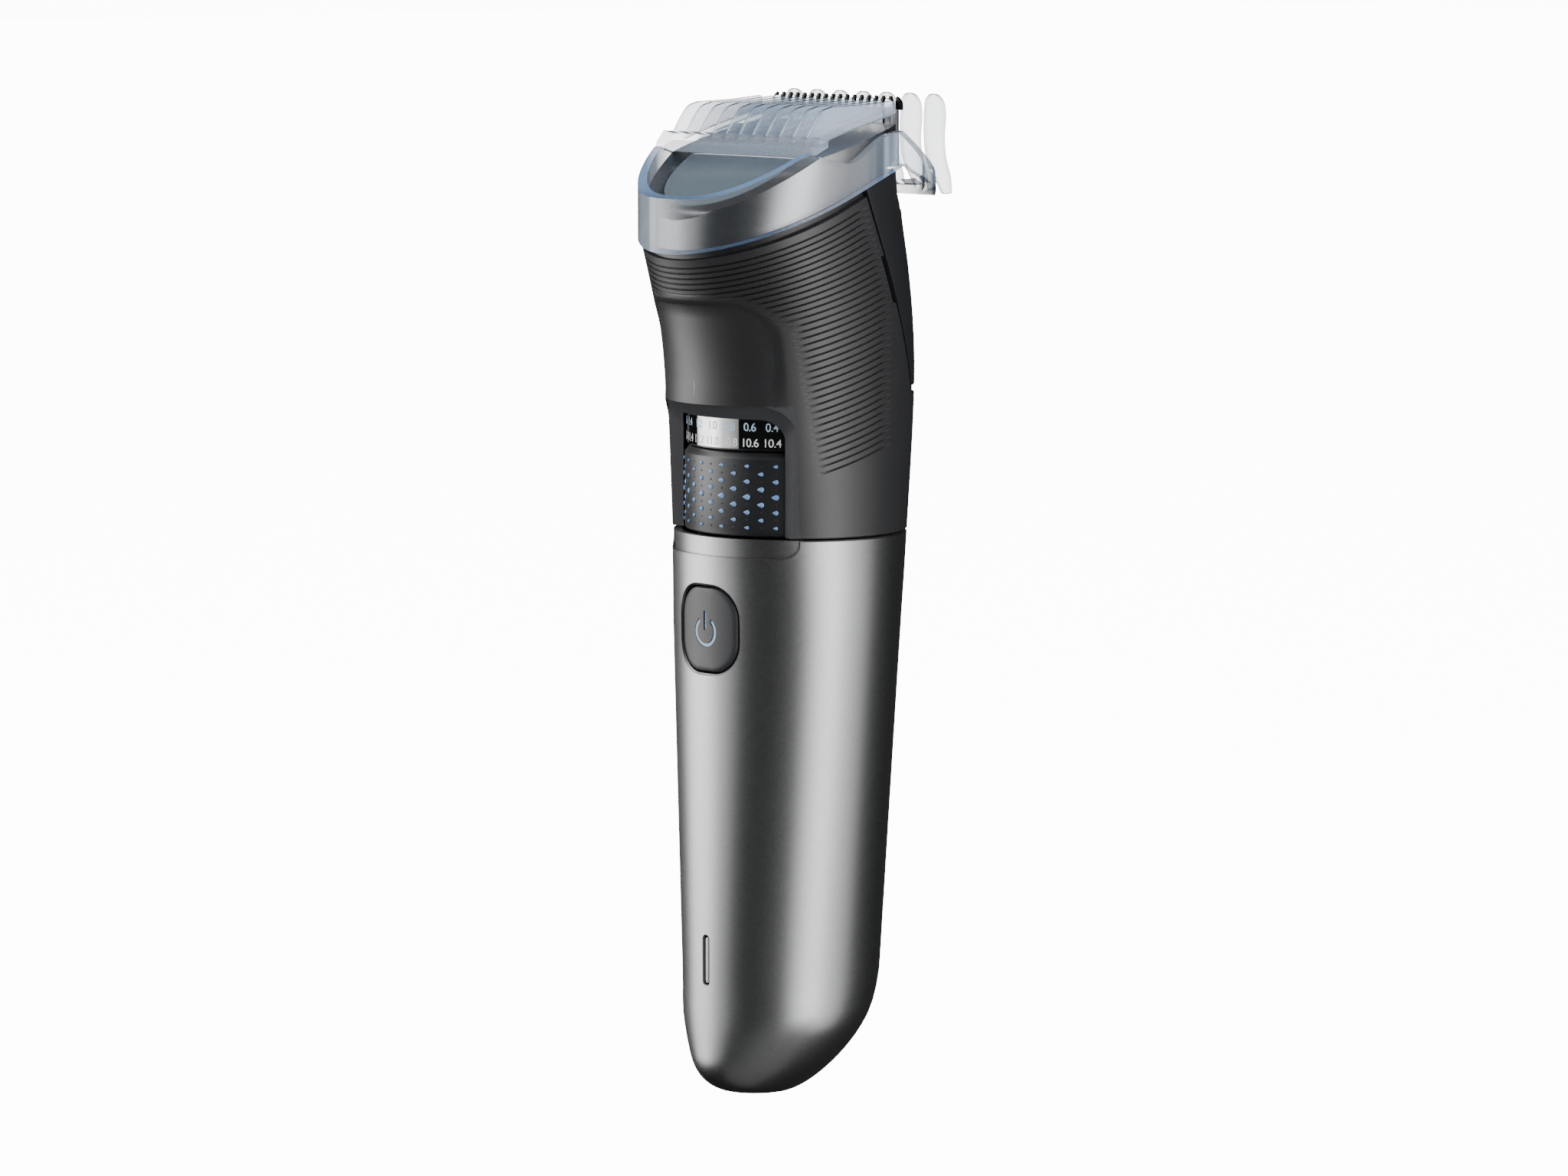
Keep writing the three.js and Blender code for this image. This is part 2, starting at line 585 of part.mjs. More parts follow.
function guideComb() {
  const profile = [[-29, neckZ(-29)], [7.5, neckZ(7.5)], [9.5, 157.9], [17.4, 154.6], [19, 153.1],
    [22, 153.1], [22, 154.4], [20.4, 155], [6.6, 164.8], [2, 163.6], [-3, 160.4], [-5.5, 159.6],
    [-8, 159.8], [-13, 161.4], [-20, 157.2], [-25, 154.4], [-29, 153.4]];
  const ring = ringPrism(0).subtract(ringPrism(RING.wall)).intersect(prismX(profile, [-25, 25]));
  const bar = prismX([[-12.9, 160.6], [-9, 162.3], [-9, 163.4], [-11.2, 164], [-12.9, 161.9]], [-19.7, 19.7]);
  const ribSide = [[-12.4, 161.4], [-10, 162.2], [4, 166.2], [8.7, 167.4], [8.5, 169.6], [1.9, 169.1],
    [-5.7, 168.9], [-7.8, 168.3], [-10.9, 164.4]];
  const toothSide = [[19.2, 153.3], [21, 153.3], [20.6, 157], [19.2, 161], [19.4, 168], [18.2, 170.2],
    [16.5, 170.5], [15.2, 169], [15, 161.6], [16.5, 157.6]];
  const backRoom = box([-25, 25], [RING.centre + 10, 30], [140, 180]);
  const slice = (side, thickness) => (x) => prismX(side, [x - thickness / 2, x + thickness / 2]);
  return [bar, ...evenly(RIB.count, RIB.pitch, slice(ribSide, RIB.thickness)),
    ...evenly(TOOTH.count, TOOTH.pitch, slice(toothSide, TOOTH.thickness))]
    .reduce((body, piece) => body.add(piece), ring).intersect(ringPrism(0).add(backRoom));
}

// ---------------------------------------------------------------- assembly
add('handle_shell', handleShell(), MATERIAL.satinMetal);
add('led_light_guide', lightGuide(), MATERIAL.lightGuide);
add('status_led', box([-0.8, 0.8], [-12.2, -10.9], [23, 25]), MATERIAL.lightGuide);
add('charging_socket', chargingSocket(), MATERIAL.nickel);
add('socket_seal', socketSeal(), MATERIAL.rubber);
add('power_button', powerButton(), MATERIAL.buttonGrey);
add('button_seal', buttonSeal(), MATERIAL.rubber);
add('tact_switch', tactSwitch(), MATERIAL.nickel);
add('circuit_board', circuitBoard(), MATERIAL.boardGreen);
add('inner_frame', innerFrame(), MATERIAL.innerPlastic);
FRAME_SCREWS.forEach((place, i) => add(`frame_screw_${i + 1}`, frameScrew(place), MATERIAL.steel));
add('battery_cell', batteryCell(), MATERIAL.battery);
add('battery_tab_bottom', box([-3, 3], [-3, 3], [23.6, 24]), MATERIAL.nickel);
add('battery_tab_top', box([-3, 3], [-3, 3], [75, 75.4]), MATERIAL.nickel);
add('motor_lead_red', motorLead(-3), MATERIAL.redSleeve);
add('motor_lead_black', motorLead(3), MATERIAL.rubber);
add('motor_bracket', motorBracket(), MATERIAL.innerPlastic);
add('joint_seal', jointSeal(), MATERIAL.rubber);
add('motor_end_cap', rod(7.4, [99.3, 101.2], 0, 0, 40), MATERIAL.innerPlastic);
add('motor_can', motorCan(), MATERIAL.nickel);
add('motor_gasket', tube(10.4, 3.6, [123.6, 124.4], 40), MATERIAL.rubber);
add('motor_shaft', rod(MOTOR.shaft, [106, 130.5], 0, 0, 16), MATERIAL.steel);
add('eccentric', eccentric(), MATERIAL.innerPlastic);
add('zoom_wheel', zoomWheel(), MATERIAL.wheelBlack);
add('scale_ring', tube(BAND.radius, WHEEL.bore, [BAND.bottom, BAND.top], 60), MATERIAL.glossBlack);
add('cam_ring', camRing(), MATERIAL.innerPlastic);
add('detent_spring', box([-2, 2], [-12.3, -11.9], [98, 106]), MATERIAL.steel);
add('cam_follower', barY(FOLLOWER.radius, [12.2, 13.95], 0, FOLLOWER.z), MATERIAL.steel);
add('upper_housing', upperHousing(), MATERIAL.softBlack);
add('comb_carriage', combCarriage(), MATERIAL.softBlack);
add('head_housing', headHousing(), MATERIAL.silver);
add('head_panel', topPanelBlock(GAP, -0.7), MATERIAL.panelBlue);
add('guard_blade', guardBlade(), MATERIAL.bladeDark);
add('cutter_blade', toothedPlate({ half: BLADE.cutterHalf, y: [9.7, 10.4], z: [160.8, TIP_Z - 0.5],
  depth: 2 }), MATERIAL.steel);
add('blade_carrier', bladeCarrier(), MATERIAL.bladeDark);
add('blade_screw_left', bladeScrew(-BLADE_SCREW.x), MATERIAL.steel);
add('blade_screw_right', bladeScrew(BLADE_SCREW.x), MATERIAL.steel);
add('blade_spring', bladeSpring(), MATERIAL.steel);
add('drive_fork', driveFork(), MATERIAL.innerPlastic);
add('guide_comb', guideComb(), MATERIAL.clear);

export default trimmer;
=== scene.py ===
import json
import math

import bmesh
import bpy
import numpy as np
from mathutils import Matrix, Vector

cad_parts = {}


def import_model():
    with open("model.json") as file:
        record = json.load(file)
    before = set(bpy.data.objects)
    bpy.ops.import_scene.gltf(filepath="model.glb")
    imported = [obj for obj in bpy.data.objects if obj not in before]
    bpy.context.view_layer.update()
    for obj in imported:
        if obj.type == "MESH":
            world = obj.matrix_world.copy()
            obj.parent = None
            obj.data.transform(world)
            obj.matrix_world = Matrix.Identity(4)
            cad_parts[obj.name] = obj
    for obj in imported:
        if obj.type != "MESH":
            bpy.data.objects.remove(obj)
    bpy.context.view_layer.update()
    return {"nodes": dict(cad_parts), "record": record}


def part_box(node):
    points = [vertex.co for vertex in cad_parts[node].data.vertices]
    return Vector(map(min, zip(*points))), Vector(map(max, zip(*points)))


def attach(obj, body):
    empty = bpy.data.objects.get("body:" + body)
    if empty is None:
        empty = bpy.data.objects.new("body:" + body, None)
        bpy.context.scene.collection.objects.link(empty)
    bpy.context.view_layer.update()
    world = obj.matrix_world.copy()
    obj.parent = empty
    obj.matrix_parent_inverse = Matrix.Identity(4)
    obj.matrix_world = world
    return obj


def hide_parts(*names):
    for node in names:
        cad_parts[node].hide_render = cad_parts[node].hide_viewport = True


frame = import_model()

# Shapes are worked out in millimetres about the zoom wheel's axis, as in the CAD part, and
# place() turns them into metres in the row frame. The front faces -Y and +Z is up.
MM = 0.001
FAR = 40  # past the body on every side
FINE, COARSE = 224, 96  # points round an outline that shows, and round one that is hidden
WHEEL_LOW, WHEEL_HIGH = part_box("zoom_wheel")
AXIS = Vector(((WHEEL_LOW[0] + WHEEL_HIGH[0]) / 2, (WHEEL_LOW[1] + WHEEL_HIGH[1]) / 2, 0.0))


def top_of(node):
    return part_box(node)[1][2] / MM


def bottom_of(node):
    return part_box(node)[0][2] / MM


# ------------ driving dimensions
HANDLE_TOP = top_of("handle_shell")
HOUSING_BOTTOM = bottom_of("upper_housing")
WHEEL_RADIUS = (WHEEL_HIGH[0] - WHEEL_LOW[0]) / 2 / MM
WHEEL_BOTTOM, WHEEL_TOP = WHEEL_LOW[2] / MM, WHEEL_HIGH[2] / MM
WHEEL_BORE = 14.7
BAND_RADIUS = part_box("scale_ring")[1][0] / MM
BAND_BOTTOM, BAND_TOP = bottom_of("scale_ring"), top_of("scale_ring")
BUTTON_Z = (bottom_of("power_button") + top_of("power_button")) / 2
BUTTON_WIDTH, BUTTON_HEIGHT, BUTTON_CORNER = 13.8, 14.4, 5.2
SLOT_Z, SLOT_HEIGHT, SLOT_WIDTH = 23.85, 8.5, 1.5
STEP = {"depth": 0.6, "drop": 3.2, "corner": 2.4}
WINDOW = {"half": 16.2, "inner_half": 12.9, "top": 119.0, "ledge": 116.5, "corner": 4.2}
WHEEL_ROOM_TOP = 118.1
WALL = 1.8
NECK_Z, NECK_FRONT, NECK_SLOPE = 144.0, -28.4, 0.42
CORE = {"front": -25.9, "rear": 15.8, "half": 19.3, "centre": -7.0, "powers": (2.05, 3.0)}
HEAD = {"front": -25.9, "rear": 15.3, "half": 19.3, "centre": -3.6, "powers": (2.05, 4.0)}
RING = {"front": -27.5, "rear": 21.2, "half": 21.3, "centre": -3.6, "powers": (2.05, 4.0)}
HEAD_REAR = 9.1
RING_WALL = 1.6
COMB_DOWN = 1.2  # how far the carriage can sink below rest
SEAM_Y, SEAM_Z, SEAM_SLOPE, SEAM_BOTTOM, SEAM_GAP = -1.3, 154.4, 0.405, 119.8, 0.55
LIP_HEIGHT, LIP_INSET, SKIRT = 2.0, 0.4, 0.2
TIP_Z = top_of("guard_blade")
NUMBER_PITCH = 360 / 28

# Outer body: height, front Y, rear Y, half width, and how square the rear half is.
STATIONS = np.array([
    (24, -19.1, 15.4, 16.9, 2), (78.6, -19.3, 18.1, 20.2, 2), (95.3, -19.7, 19.6, 20.5, 2),
    (120.6, -21.7, 21.7, 20.8, 2), (131, -22.8, 20.9, 21, 2.1), (140.6, -25.3, 19.4, 21.1, 2.2),
    (151.6, -28.6, 17.0, 20.8, 2.4), (166, -31, 16.2, 20.6, 2.4)])
# Foot rounding: the flat it stands on, then the height and fullness of the rounding.
FOOT = {1: (-9.3, 6.7, 2.4), 2: (-1.3, 20.8, 1.62), 3: (4.0, 14.6, 1.49)}


# ------------ mesh helpers
def place(points):
    return [(x * MM + AXIS.x, y * MM + AXIS.y, z * MM) for x, y, z in points]


def add_object(name, data):
    obj = bpy.data.objects.new(name, data)
    bpy.context.scene.collection.objects.link(obj)
    return obj


def make(name, points, faces):
    mesh = bpy.data.meshes.new(name)
    mesh.from_pydata(place(points), [], faces)
    mesh.update()
    return add_object(name, mesh)


def remove(obj):
    mesh = obj.data
    bpy.data.objects.remove(obj)
    if mesh.users == 0:
        bpy.data.meshes.remove(mesh)


def polar(radius, angle, z):
    return radius * math.cos(angle), radius * math.sin(angle), z


def bake(obj):
    """Applies the object's modifiers to its mesh."""
    graph = bpy.context.evaluated_depsgraph_get()
    graph.update()
    baked = bpy.data.meshes.new_from_object(obj.evaluated_get(graph))
    old = obj.data
    obj.modifiers.clear()
    obj.data = baked
    bpy.data.meshes.remove(old)
    return obj


def combine(target, others, operation):
    for other in others:
        step = target.modifiers.new(operation.lower(), "BOOLEAN")
        step.operation = operation
        step.solver = "MANIFOLD"
        step.object = other
        bake(target)
        remove(other)
    return target


def cut(target, *others):
    return combine(target, others, "DIFFERENCE")


def keep(target, *others):
    return combine(target, others, "INTERSECT")


def unite(target, *others):
    return combine(target, others, "UNION")


def bevel(obj, width, segments=3, angle=35):
    step = obj.modifiers.new("bevel", "BEVEL")
    step.width = width * MM
    step.segments = segments
    step.limit_method = "ANGLE"
    step.angle_limit = math.radians(angle)
    return bake(obj)


def smooth(obj, angle=30):
    obj.data.polygons.foreach_set("use_smooth", [True] * len(obj.data.polygons))
    obj.data.set_sharp_from_angle(angle=math.radians(angle))
    return obj


def join(name, parts):
    """One mesh from several, with their materials kept in order."""
    bpy.ops.object.select_all(action="DESELECT")
    for part in parts:
        part.select_set(True)
    bpy.context.view_layer.objects.active = parts[0]
    bpy.ops.object.join()
    parts[0].name = name
    parts[0].data.name = name
    return parts[0]


def bands(rows, count, start=0):
    """Faces between neighbouring rings; each ring has count points, and the first begins at start."""
    return [(a + i, a + (i + 1) % count, a + count + (i + 1) % count, a + count + i)
            for a in range(start, start + (rows - 1) * count, count) for i in range(count)]


def solid(name, points, faces):
    """A closed mesh, with every face turned over when it comes out inside out."""
    obj = make(name, points, faces)
    work = bmesh.new()
    work.from_mesh(obj.data)
    if work.calc_volume(signed=True) < 0:
        bmesh.ops.reverse_faces(work, faces=work.faces)
        work.to_mesh(obj.data)
    work.free()
    return obj


def loft(name, rings):
    """Closed solid through rings that have the same number of (x, y, z) points."""
    n, last = len(rings[0]), len(rings) - 1
    faces = [tuple(range(n))[::-1], tuple(range(last * n, (last + 1) * n))]
    return solid(name, [p for ring in rings for p in ring], faces + bands(last + 1, n))


def prism_x(name, outline, low=-FAR, high=FAR):
    return loft(name, [[(x, a, b) for a, b in outline] for x in (low, high)])


def prism_y(name, outline, low, high):
    return loft(name, [[(a, y, b) for a, b in outline] for y in (low, high)])


def prism_z(name, outline, low, high):
    return loft(name, [[(a, b, z) for a, b in outline] for z in (low, high)])


def block(name, x, y, z):
    return prism_z(name, [(x[0], y[0]), (x[1], y[0]), (x[1], y[1]), (x[0], y[1])], z[0], z[1])


def rounded_rectangle(width, height, corner, z=0.0, steps=10):
    points = []
    for k, (sx, sz) in enumerate(((1, -1), (1, 1), (-1, 1), (-1, -1))):
        for i in range(steps + 1):
            angle = math.radians(-90 + 90 * k + 90 * i / steps)
            points.append((sx * (width / 2 - corner) + corner * math.cos(angle),
                           z + sz * (height / 2 - corner) + corner * math.sin(angle)))
    return points


def circle(radius, x=0.0, y=0.0, count=32):
    turn = 2 * math.pi / count
    return [(x + radius * math.cos(i * turn), y + radius * math.sin(i * turn)) for i in range(count)]


def oval(front, rear, half, centre, powers, count=160, inset=0.0):
    """Outline whose front and rear halves are superellipses that meet at centre."""
    front, rear, half = front + inset, rear - inset, half - inset
    points = []
    for i in range(count):
        angle = 2 * math.pi * i / count
        c, s = math.cos(angle), math.sin(angle)
        power = powers[0] if s < 0 else powers[1]
        reach = centre - front if s < 0 else rear - centre
        points.append((half * math.copysign(abs(c) ** (2 / power), c),
                       centre + reach * math.copysign(abs(s) ** (2 / power), s)))
    return points


def centred(count, pitch):
    """Places at an even pitch, the same number on either side of zero."""
    return [(i - (count - 1) / 2) * pitch for i in range(count)]


def lathe(name, profile, count=192):
    """A closed profile of (radius, z) turned about the wheel's axis."""
    n = len(profile)
    turn = 2 * math.pi / count
    points = [polar(r, i * turn, z) for i in range(count) for r, z in profile]
    faces = [(i * n + k, ((i + 1) % count) * n + k, ((i + 1) % count) * n + (k + 1) % n, i * n + (k + 1) % n)
             for i in range(count) for k in range(n)]
    return solid(name, points, faces)


def spline(points, steps=8):
    """Smooth open curve through the points (Catmull-Rom)."""
    p = [np.array(q, float) for q in points]
    p = [2 * p[0] - p[1]] + p + [2 * p[-1] - p[-2]]
    out = []
    for a, b, c, d in zip(p, p[1:], p[2:], p[3:]):
        for i in range(steps):
            t = i / steps
            out.append(tuple(0.5 * (2 * b + (c - a) * t + (2 * a - 5 * b + 4 * c - d) * t ** 2
                                    + (3 * b - a - 3 * c + d) * t ** 3)))
    return out + [tuple(p[-2])]


# ------------ outer body
def station(z, column):
    """Smooth curve through the stations at heights z, as the CAD part has it."""
    rows = STATIONS
    last = len(rows) - 1
    z = np.asarray(z, float)
    i = np.clip(np.searchsorted(rows[:, 0], z, side="right") - 1, 0, last - 1)
    lo, hi = np.maximum(np.arange(last + 1) - 1, 0), np.minimum(np.arange(last + 1) + 1, last)
    slope = (rows[hi, column] - rows[lo, column]) / (rows[hi, 0] - rows[lo, 0])
    span = rows[i + 1, 0] - rows[i, 0]
    t = (z - rows[i, 0]) / span
    h = t * t * (3 - 2 * t)
    inside = (rows[i, column] * (1 - h) + rows[i + 1, column] * h
              + slope[i] * span * t * (1 - t) ** 2 - slope[i + 1] * span * t * t * (1 - t))
    return np.where(t < 0, rows[0, column] + slope[0] * (z - rows[0, 0]), inside)


def body_side(z, column):
    flat, height, power = FOOT[column]
    u = np.clip(np.asarray(z, float) / height, 0, 1)
    return flat + (station(z, column) - flat) * (1 - (1 - u) ** power) ** (1 / power)


def body_point(angle, z, inset=0.0):
    """(x, y) on the body's surface at height z; angle 0 is +X and 90 degrees is the rear."""
    front, rear = body_side(z, 1) + inset, body_side(z, 2) - inset
    half = body_side(z, 3) - inset
    c, s = np.cos(angle), np.sin(angle)
    power = np.where(s < 0, 2.0, np.maximum(2.0, station(z, 4)))
    x = half * np.sign(c) * np.abs(c) ** (2 / power)
    y = (front + rear) / 2 + (rear - front) / 2 * np.sign(s) * np.abs(s) ** (2 / power)
    return x, y


def grid_solid(name, x, y, z):
    """Closed solid from rows of points that run round it, with a fan at each end."""
    rows, count = x.shape
    points = [tuple(p) for p in np.stack([x, y, z], axis=-1).reshape(-1, 3)]
    points.append((x[0].mean(), y[0].mean(), z[0].mean()))
    points.append((x[-1].mean(), y[-1].mean(), z[-1].mean()))
    bottom, top = rows * count, rows * count + 1
    faces = []
    for i in range(count):
        j = (i + 1) % count
        faces.append((bottom, j, i))
        faces.append((top, (rows - 1) * count + i, (rows - 1) * count + j))
        for r in range(rows - 1):
            faces.append((r * count + i, r * count + j, (r + 1) * count + j, (r + 1) * count + i))
    return make(name, points, faces)


def body_solid(name, levels, inset=0.0, count=160):
    angle = np.arange(count) * 2 * np.pi / count
    z = np.repeat(np.asarray(levels, float)[:, None], count, axis=1)
    x, y = body_point(np.repeat(angle[None, :], len(levels), axis=0), z, inset)
    return grid_solid(name, x, y, z)


def neck_z(y, offset=0.0):
    return NECK_Z + NECK_SLOPE * (y - NECK_FRONT) + offset


def under_neck(offset):
    return prism_x("under_neck", [(-60, 60), (60, 60), (60, neck_z(60, offset)), (-60, neck_z(-60, offset))])


def seam_y(z, gap=0.0):
    return SEAM_Y + gap + (SEAM_Z - z) * SEAM_SLOPE


# ------------ materials
class Nodes:
    """A small writer of node materials."""

    def __init__(self, name):
        self.material = bpy.data.materials.new(name)
        self.material.use_nodes = True
        self.tree = self.material.node_tree
        self.shader = self.tree.nodes["Principled BSDF"]
        self.position = self.add("ShaderNodeTexCoord").outputs["Object"]

    def add(self, kind, **values):
        node = self.tree.nodes.new(kind)
        for key, value in values.items():
            if key in node.inputs:
                node.inputs[key].default_value = value
            else:
                setattr(node, key, value)
        return node

    def link(self, source, target):
        self.tree.links.new(source, target)

    def set(self, **values):
        for key, value in values.items():
            self.shader.inputs[key.replace("_", " ")].default_value = value

    def noise(self, scale, detail=3.0, stretch=None):
        """Noise over the object; stretch squeezes it along each axis, into brush lines."""
        node = self.add("ShaderNodeTexNoise", Scale=scale, Detail=detail, Roughness=0.55)
        source = self.position
        if stretch:
            mapping = self.add("ShaderNodeMapping", Scale=stretch)
            self.link(source, mapping.inputs["Vector"])
            source = mapping.outputs["Vector"]
        self.link(source, node.inputs["Vector"])
        return node.outputs["Fac"]

    def ramp(self, value, low, high, full=1.0):
        """Runs from low to high while value runs from 0 to full."""
        node = self.add("ShaderNodeMapRange", **{"From Max": full, "To Min": low, "To Max": high})
        self.link(value, node.inputs["Value"])
        return node.outputs["Result"]

    def colour(self, value, dark, light):
        node = self.add("ShaderNodeMix", data_type="RGBA")
        node.inputs[6].default_value = (*dark, 1)
        node.inputs[7].default_value = (*light, 1)
        self.link(value, node.inputs[0])
        return node.outputs[2]

    def bump(self, value, strength, distance):
        node = self.add("ShaderNodeBump", Strength=strength, Distance=distance)
        self.link(value, node.inputs["Height"])
        self.link(node.outputs["Normal"], self.shader.inputs["Normal"])


FINISH = {}


def shades(colour, spread):
    return tuple(c * (1 - spread) for c in colour), tuple(min(c * (1 + spread), 1) for c in colour)


def moulded(name, colour, roughness, grain=1400.0, depth=0.00002, spread=0.06, wear=0.06, **more):
    """Moulded plastic or rubber: a fine spark-eroded grain and slow changes of tone and sheen."""
    m = Nodes(name)
    m.set(**more)
    dark, light = shades(colour, spread)
    m.link(m.colour(m.noise(60.0), dark, light), m.shader.inputs["Base Color"])
    m.link(m.ramp(m.noise(110.0, 4.0), roughness - wear, roughness + wear), m.shader.inputs["Roughness"])
    m.bump(m.noise(grain, 2.0), 0.35, depth)
    FINISH[name] = m.material


def metal(name, colour, roughness, stretch=None, grain=2200.0, depth=0.00001, spread=0.08, **more):
    """Metal or metallic paint: flakes or brush lines, which also break up the gloss."""
    m = Nodes(name)
    m.set(Metallic=1.0, **more)
    dark, light = shades(colour, spread)
    lines = m.noise(grain, 2.0, stretch)
    m.link(m.colour(lines, dark, light), m.shader.inputs["Base Color"])
    wear = m.ramp(m.noise(grain * 0.6, 3.0, stretch), roughness - 0.05, roughness + 0.05)
    m.link(wear, m.shader.inputs["Roughness"])
    m.bump(lines, 0.25, depth)
    FINISH[name] = m.material


def clear(name, colour, outline, roughness, haze, rim, full=0.75):
    """Polished clear plastic: sees through and grows milky towards its edges, with flow marks; towards its edges
    its colour also runs to the outline colour, a painted shade for the dark rims of clear plastic.
    """
    m = Nodes(name)
    m.set(Specular_IOR_Level=0.6, IOR=1.46, Coat_Weight=0.5, Coat_Roughness=0.04)
    edge = m.add("ShaderNodeLayerWeight", Blend=0.35).outputs["Facing"]
    dark, light = shades(colour, 0.03)
    face = m.colour(m.noise(90.0), dark, light)
    # Painted shade: where the surface turns away from the camera, the colour runs from the face colour to the
    # dark outline colour.
    tone = m.add("ShaderNodeMix", data_type="RGBA")
    tone.inputs[7].default_value = (*outline, 1)
    steep = m.add("ShaderNodeMath", operation="POWER")
    steep.inputs[1].default_value = 2.0
    m.link(m.ramp(edge, 0.0, 1.0, full), steep.inputs[0])
    m.link(m.ramp(steep.outputs[0], -0.1, 1.0), tone.inputs[0])
    m.link(face, tone.inputs[6])
    m.link(tone.outputs[2], m.shader.inputs["Base Color"])
    m.link(m.ramp(m.noise(140.0, 3.0), roughness * 0.6, roughness * 1.4), m.shader.inputs["Roughness"])
    m.bump(m.noise(160.0, 1.0), 0.08, 0.00004)
    m.link(m.ramp(steep.outputs[0], haze, rim), m.shader.inputs["Alpha"])
    FINISH[name] = m.material


BRUSHED_ROUND = (1, 1, 14)
metal("satin_handle", (0.3, 0.302, 0.306), 0.35, grain=3200.0, depth=0.000006, spread=0.12,
      Coat_Weight=0.25, Coat_Roughness=0.3)
moulded("soft_black", (0.018, 0.0182, 0.0195), 0.41, grain=2600.0, depth=0.000012, IOR=1.5)
moulded("window_black", (0.05, 0.051, 0.055), 0.6, Specular_IOR_Level=0.12)
moulded("panel_black", (0.012, 0.0125, 0.0145), 0.48, grain=2600.0, depth=0.000012, IOR=1.42)
metal("silver_head", (0.28, 0.284, 0.295), 0.3, stretch=BRUSHED_ROUND, grain=420.0, depth=0.000008)
moulded("scale_black", (0.004, 0.0044, 0.005), 0.03, wear=0.02, grain=300.0, depth=0.000001,
        IOR=3.6, Coat_Weight=1.0, Coat_Roughness=0.02, Coat_IOR=2.6)
moulded("wheel_black", (0.009, 0.0098, 0.0118), 0.4, IOR=1.6)
moulded("pit_black", (0.008, 0.008, 0.01), 0.6)
moulded("dot_blue", (0.17, 0.32, 0.6), 0.3, spread=0.1)
moulded("number_blue", (0.52, 0.76, 0.98), 0.4, spread=0.03)
moulded("number_white", (0.86, 0.87, 0.88), 0.4, spread=0.03)
moulded("pointer_grey", (0.2, 0.21, 0.22), 0.5)
moulded("button_grey", (0.026, 0.027, 0.03), 0.46)
moulded("icon_blue", (0.30, 0.50, 0.76), 0.35, spread=0.05)
# The second colour of each clear finish is the painted rim shade that its edges run to as they turn from the
# camera.
clear("comb_clear", (0.5, 0.62, 0.8), (0.07, 0.1, 0.15), 0.08, 0.03, 0.97)
clear("comb_ring", (0.52, 0.56, 0.62), (0.32, 0.37, 0.44), 0.08, 0.03, 0.97, 0.5)
clear("comb_milky", (0.6, 0.72, 0.88), (0.07, 0.1, 0.15), 0.1, 0.16, 0.995, 0.58)
clear("comb_edge", (0.3, 0.5, 0.85), (0.1, 0.2, 0.4), 0.16, 0.6, 0.95)
moulded("panel_blue", (0.14, 0.18, 0.225), 0.34)
metal("steel", (0.6, 0.6, 0.61), 0.26, stretch=(1, 1, 20), grain=500.0)
metal("blade_black", (0.02, 0.02, 0.022), 0.3, grain=900.0)
moulded("rubber", (0.02, 0.02, 0.021), 0.8)
moulded("inner_plastic", (0.045, 0.048, 0.055), 0.6)
metal("nickel", (0.66, 0.64, 0.6), 0.25, grain=1200.0)
moulded("light_guide", (0.62, 0.64, 0.66), 0.35, spread=0.03)
moulded("battery_sleeve", (0.04, 0.17, 0.42), 0.3, grain=500.0)
moulded("board", (0.015, 0.11, 0.045), 0.35, grain=700.0)
moulded("red_sleeve", (0.4, 0.02, 0.02), 0.5)


def finish_piece(obj, finish, body, nodes=(), angle=30, slot=None):
    """Gives a piece its finish and its body, and hides the CAD nodes it stands for."""
    if finish:
        obj.data.materials.clear()
        obj.data.materials.append(FINISH[finish])
    smooth(obj, angle)
    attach(obj, body)
    slot = slot or finish
    if nodes:
        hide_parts(*nodes)


# ------------ handle
def flared_hole(name, width, height, corner, z, depth, flare):
    """Cutter for a hole in the front wall, with a chamfer where it meets the surface."""
    surface = float(body_side(z, 1))
    outline = rounded_rectangle(width, height, corner, z)
    wide = rounded_rectangle(width + 2 * flare, height + 2 * flare, corner + flare, z)
    layers = [(wide, surface - 6), (wide, surface - 0.02), (outline, surface + flare), (outline, surface + depth)]
    return loft(name, [[(a, y, b) for a, b in ring] for ring, y in layers])


def follow_front(obj, z_mid):
    """Bends a cutter or cap drawn on a flat front so that it follows the body's front face."""
    reference = body_side(z_mid, 1)
    for v in obj.data.vertices:
        x, z = (v.co.x - AXIS.x) / MM, v.co.z / MM
        front, rear, half = body_side(z, 1), body_side(z, 2), body_side(z, 3)
        middle = (front + rear) / 2
        y = middle - (middle - front) * math.sqrt(max(0.0, 1 - (x / half) ** 2))
        v.co.y += (y - reference) * MM
    obj.data.update()
    return obj


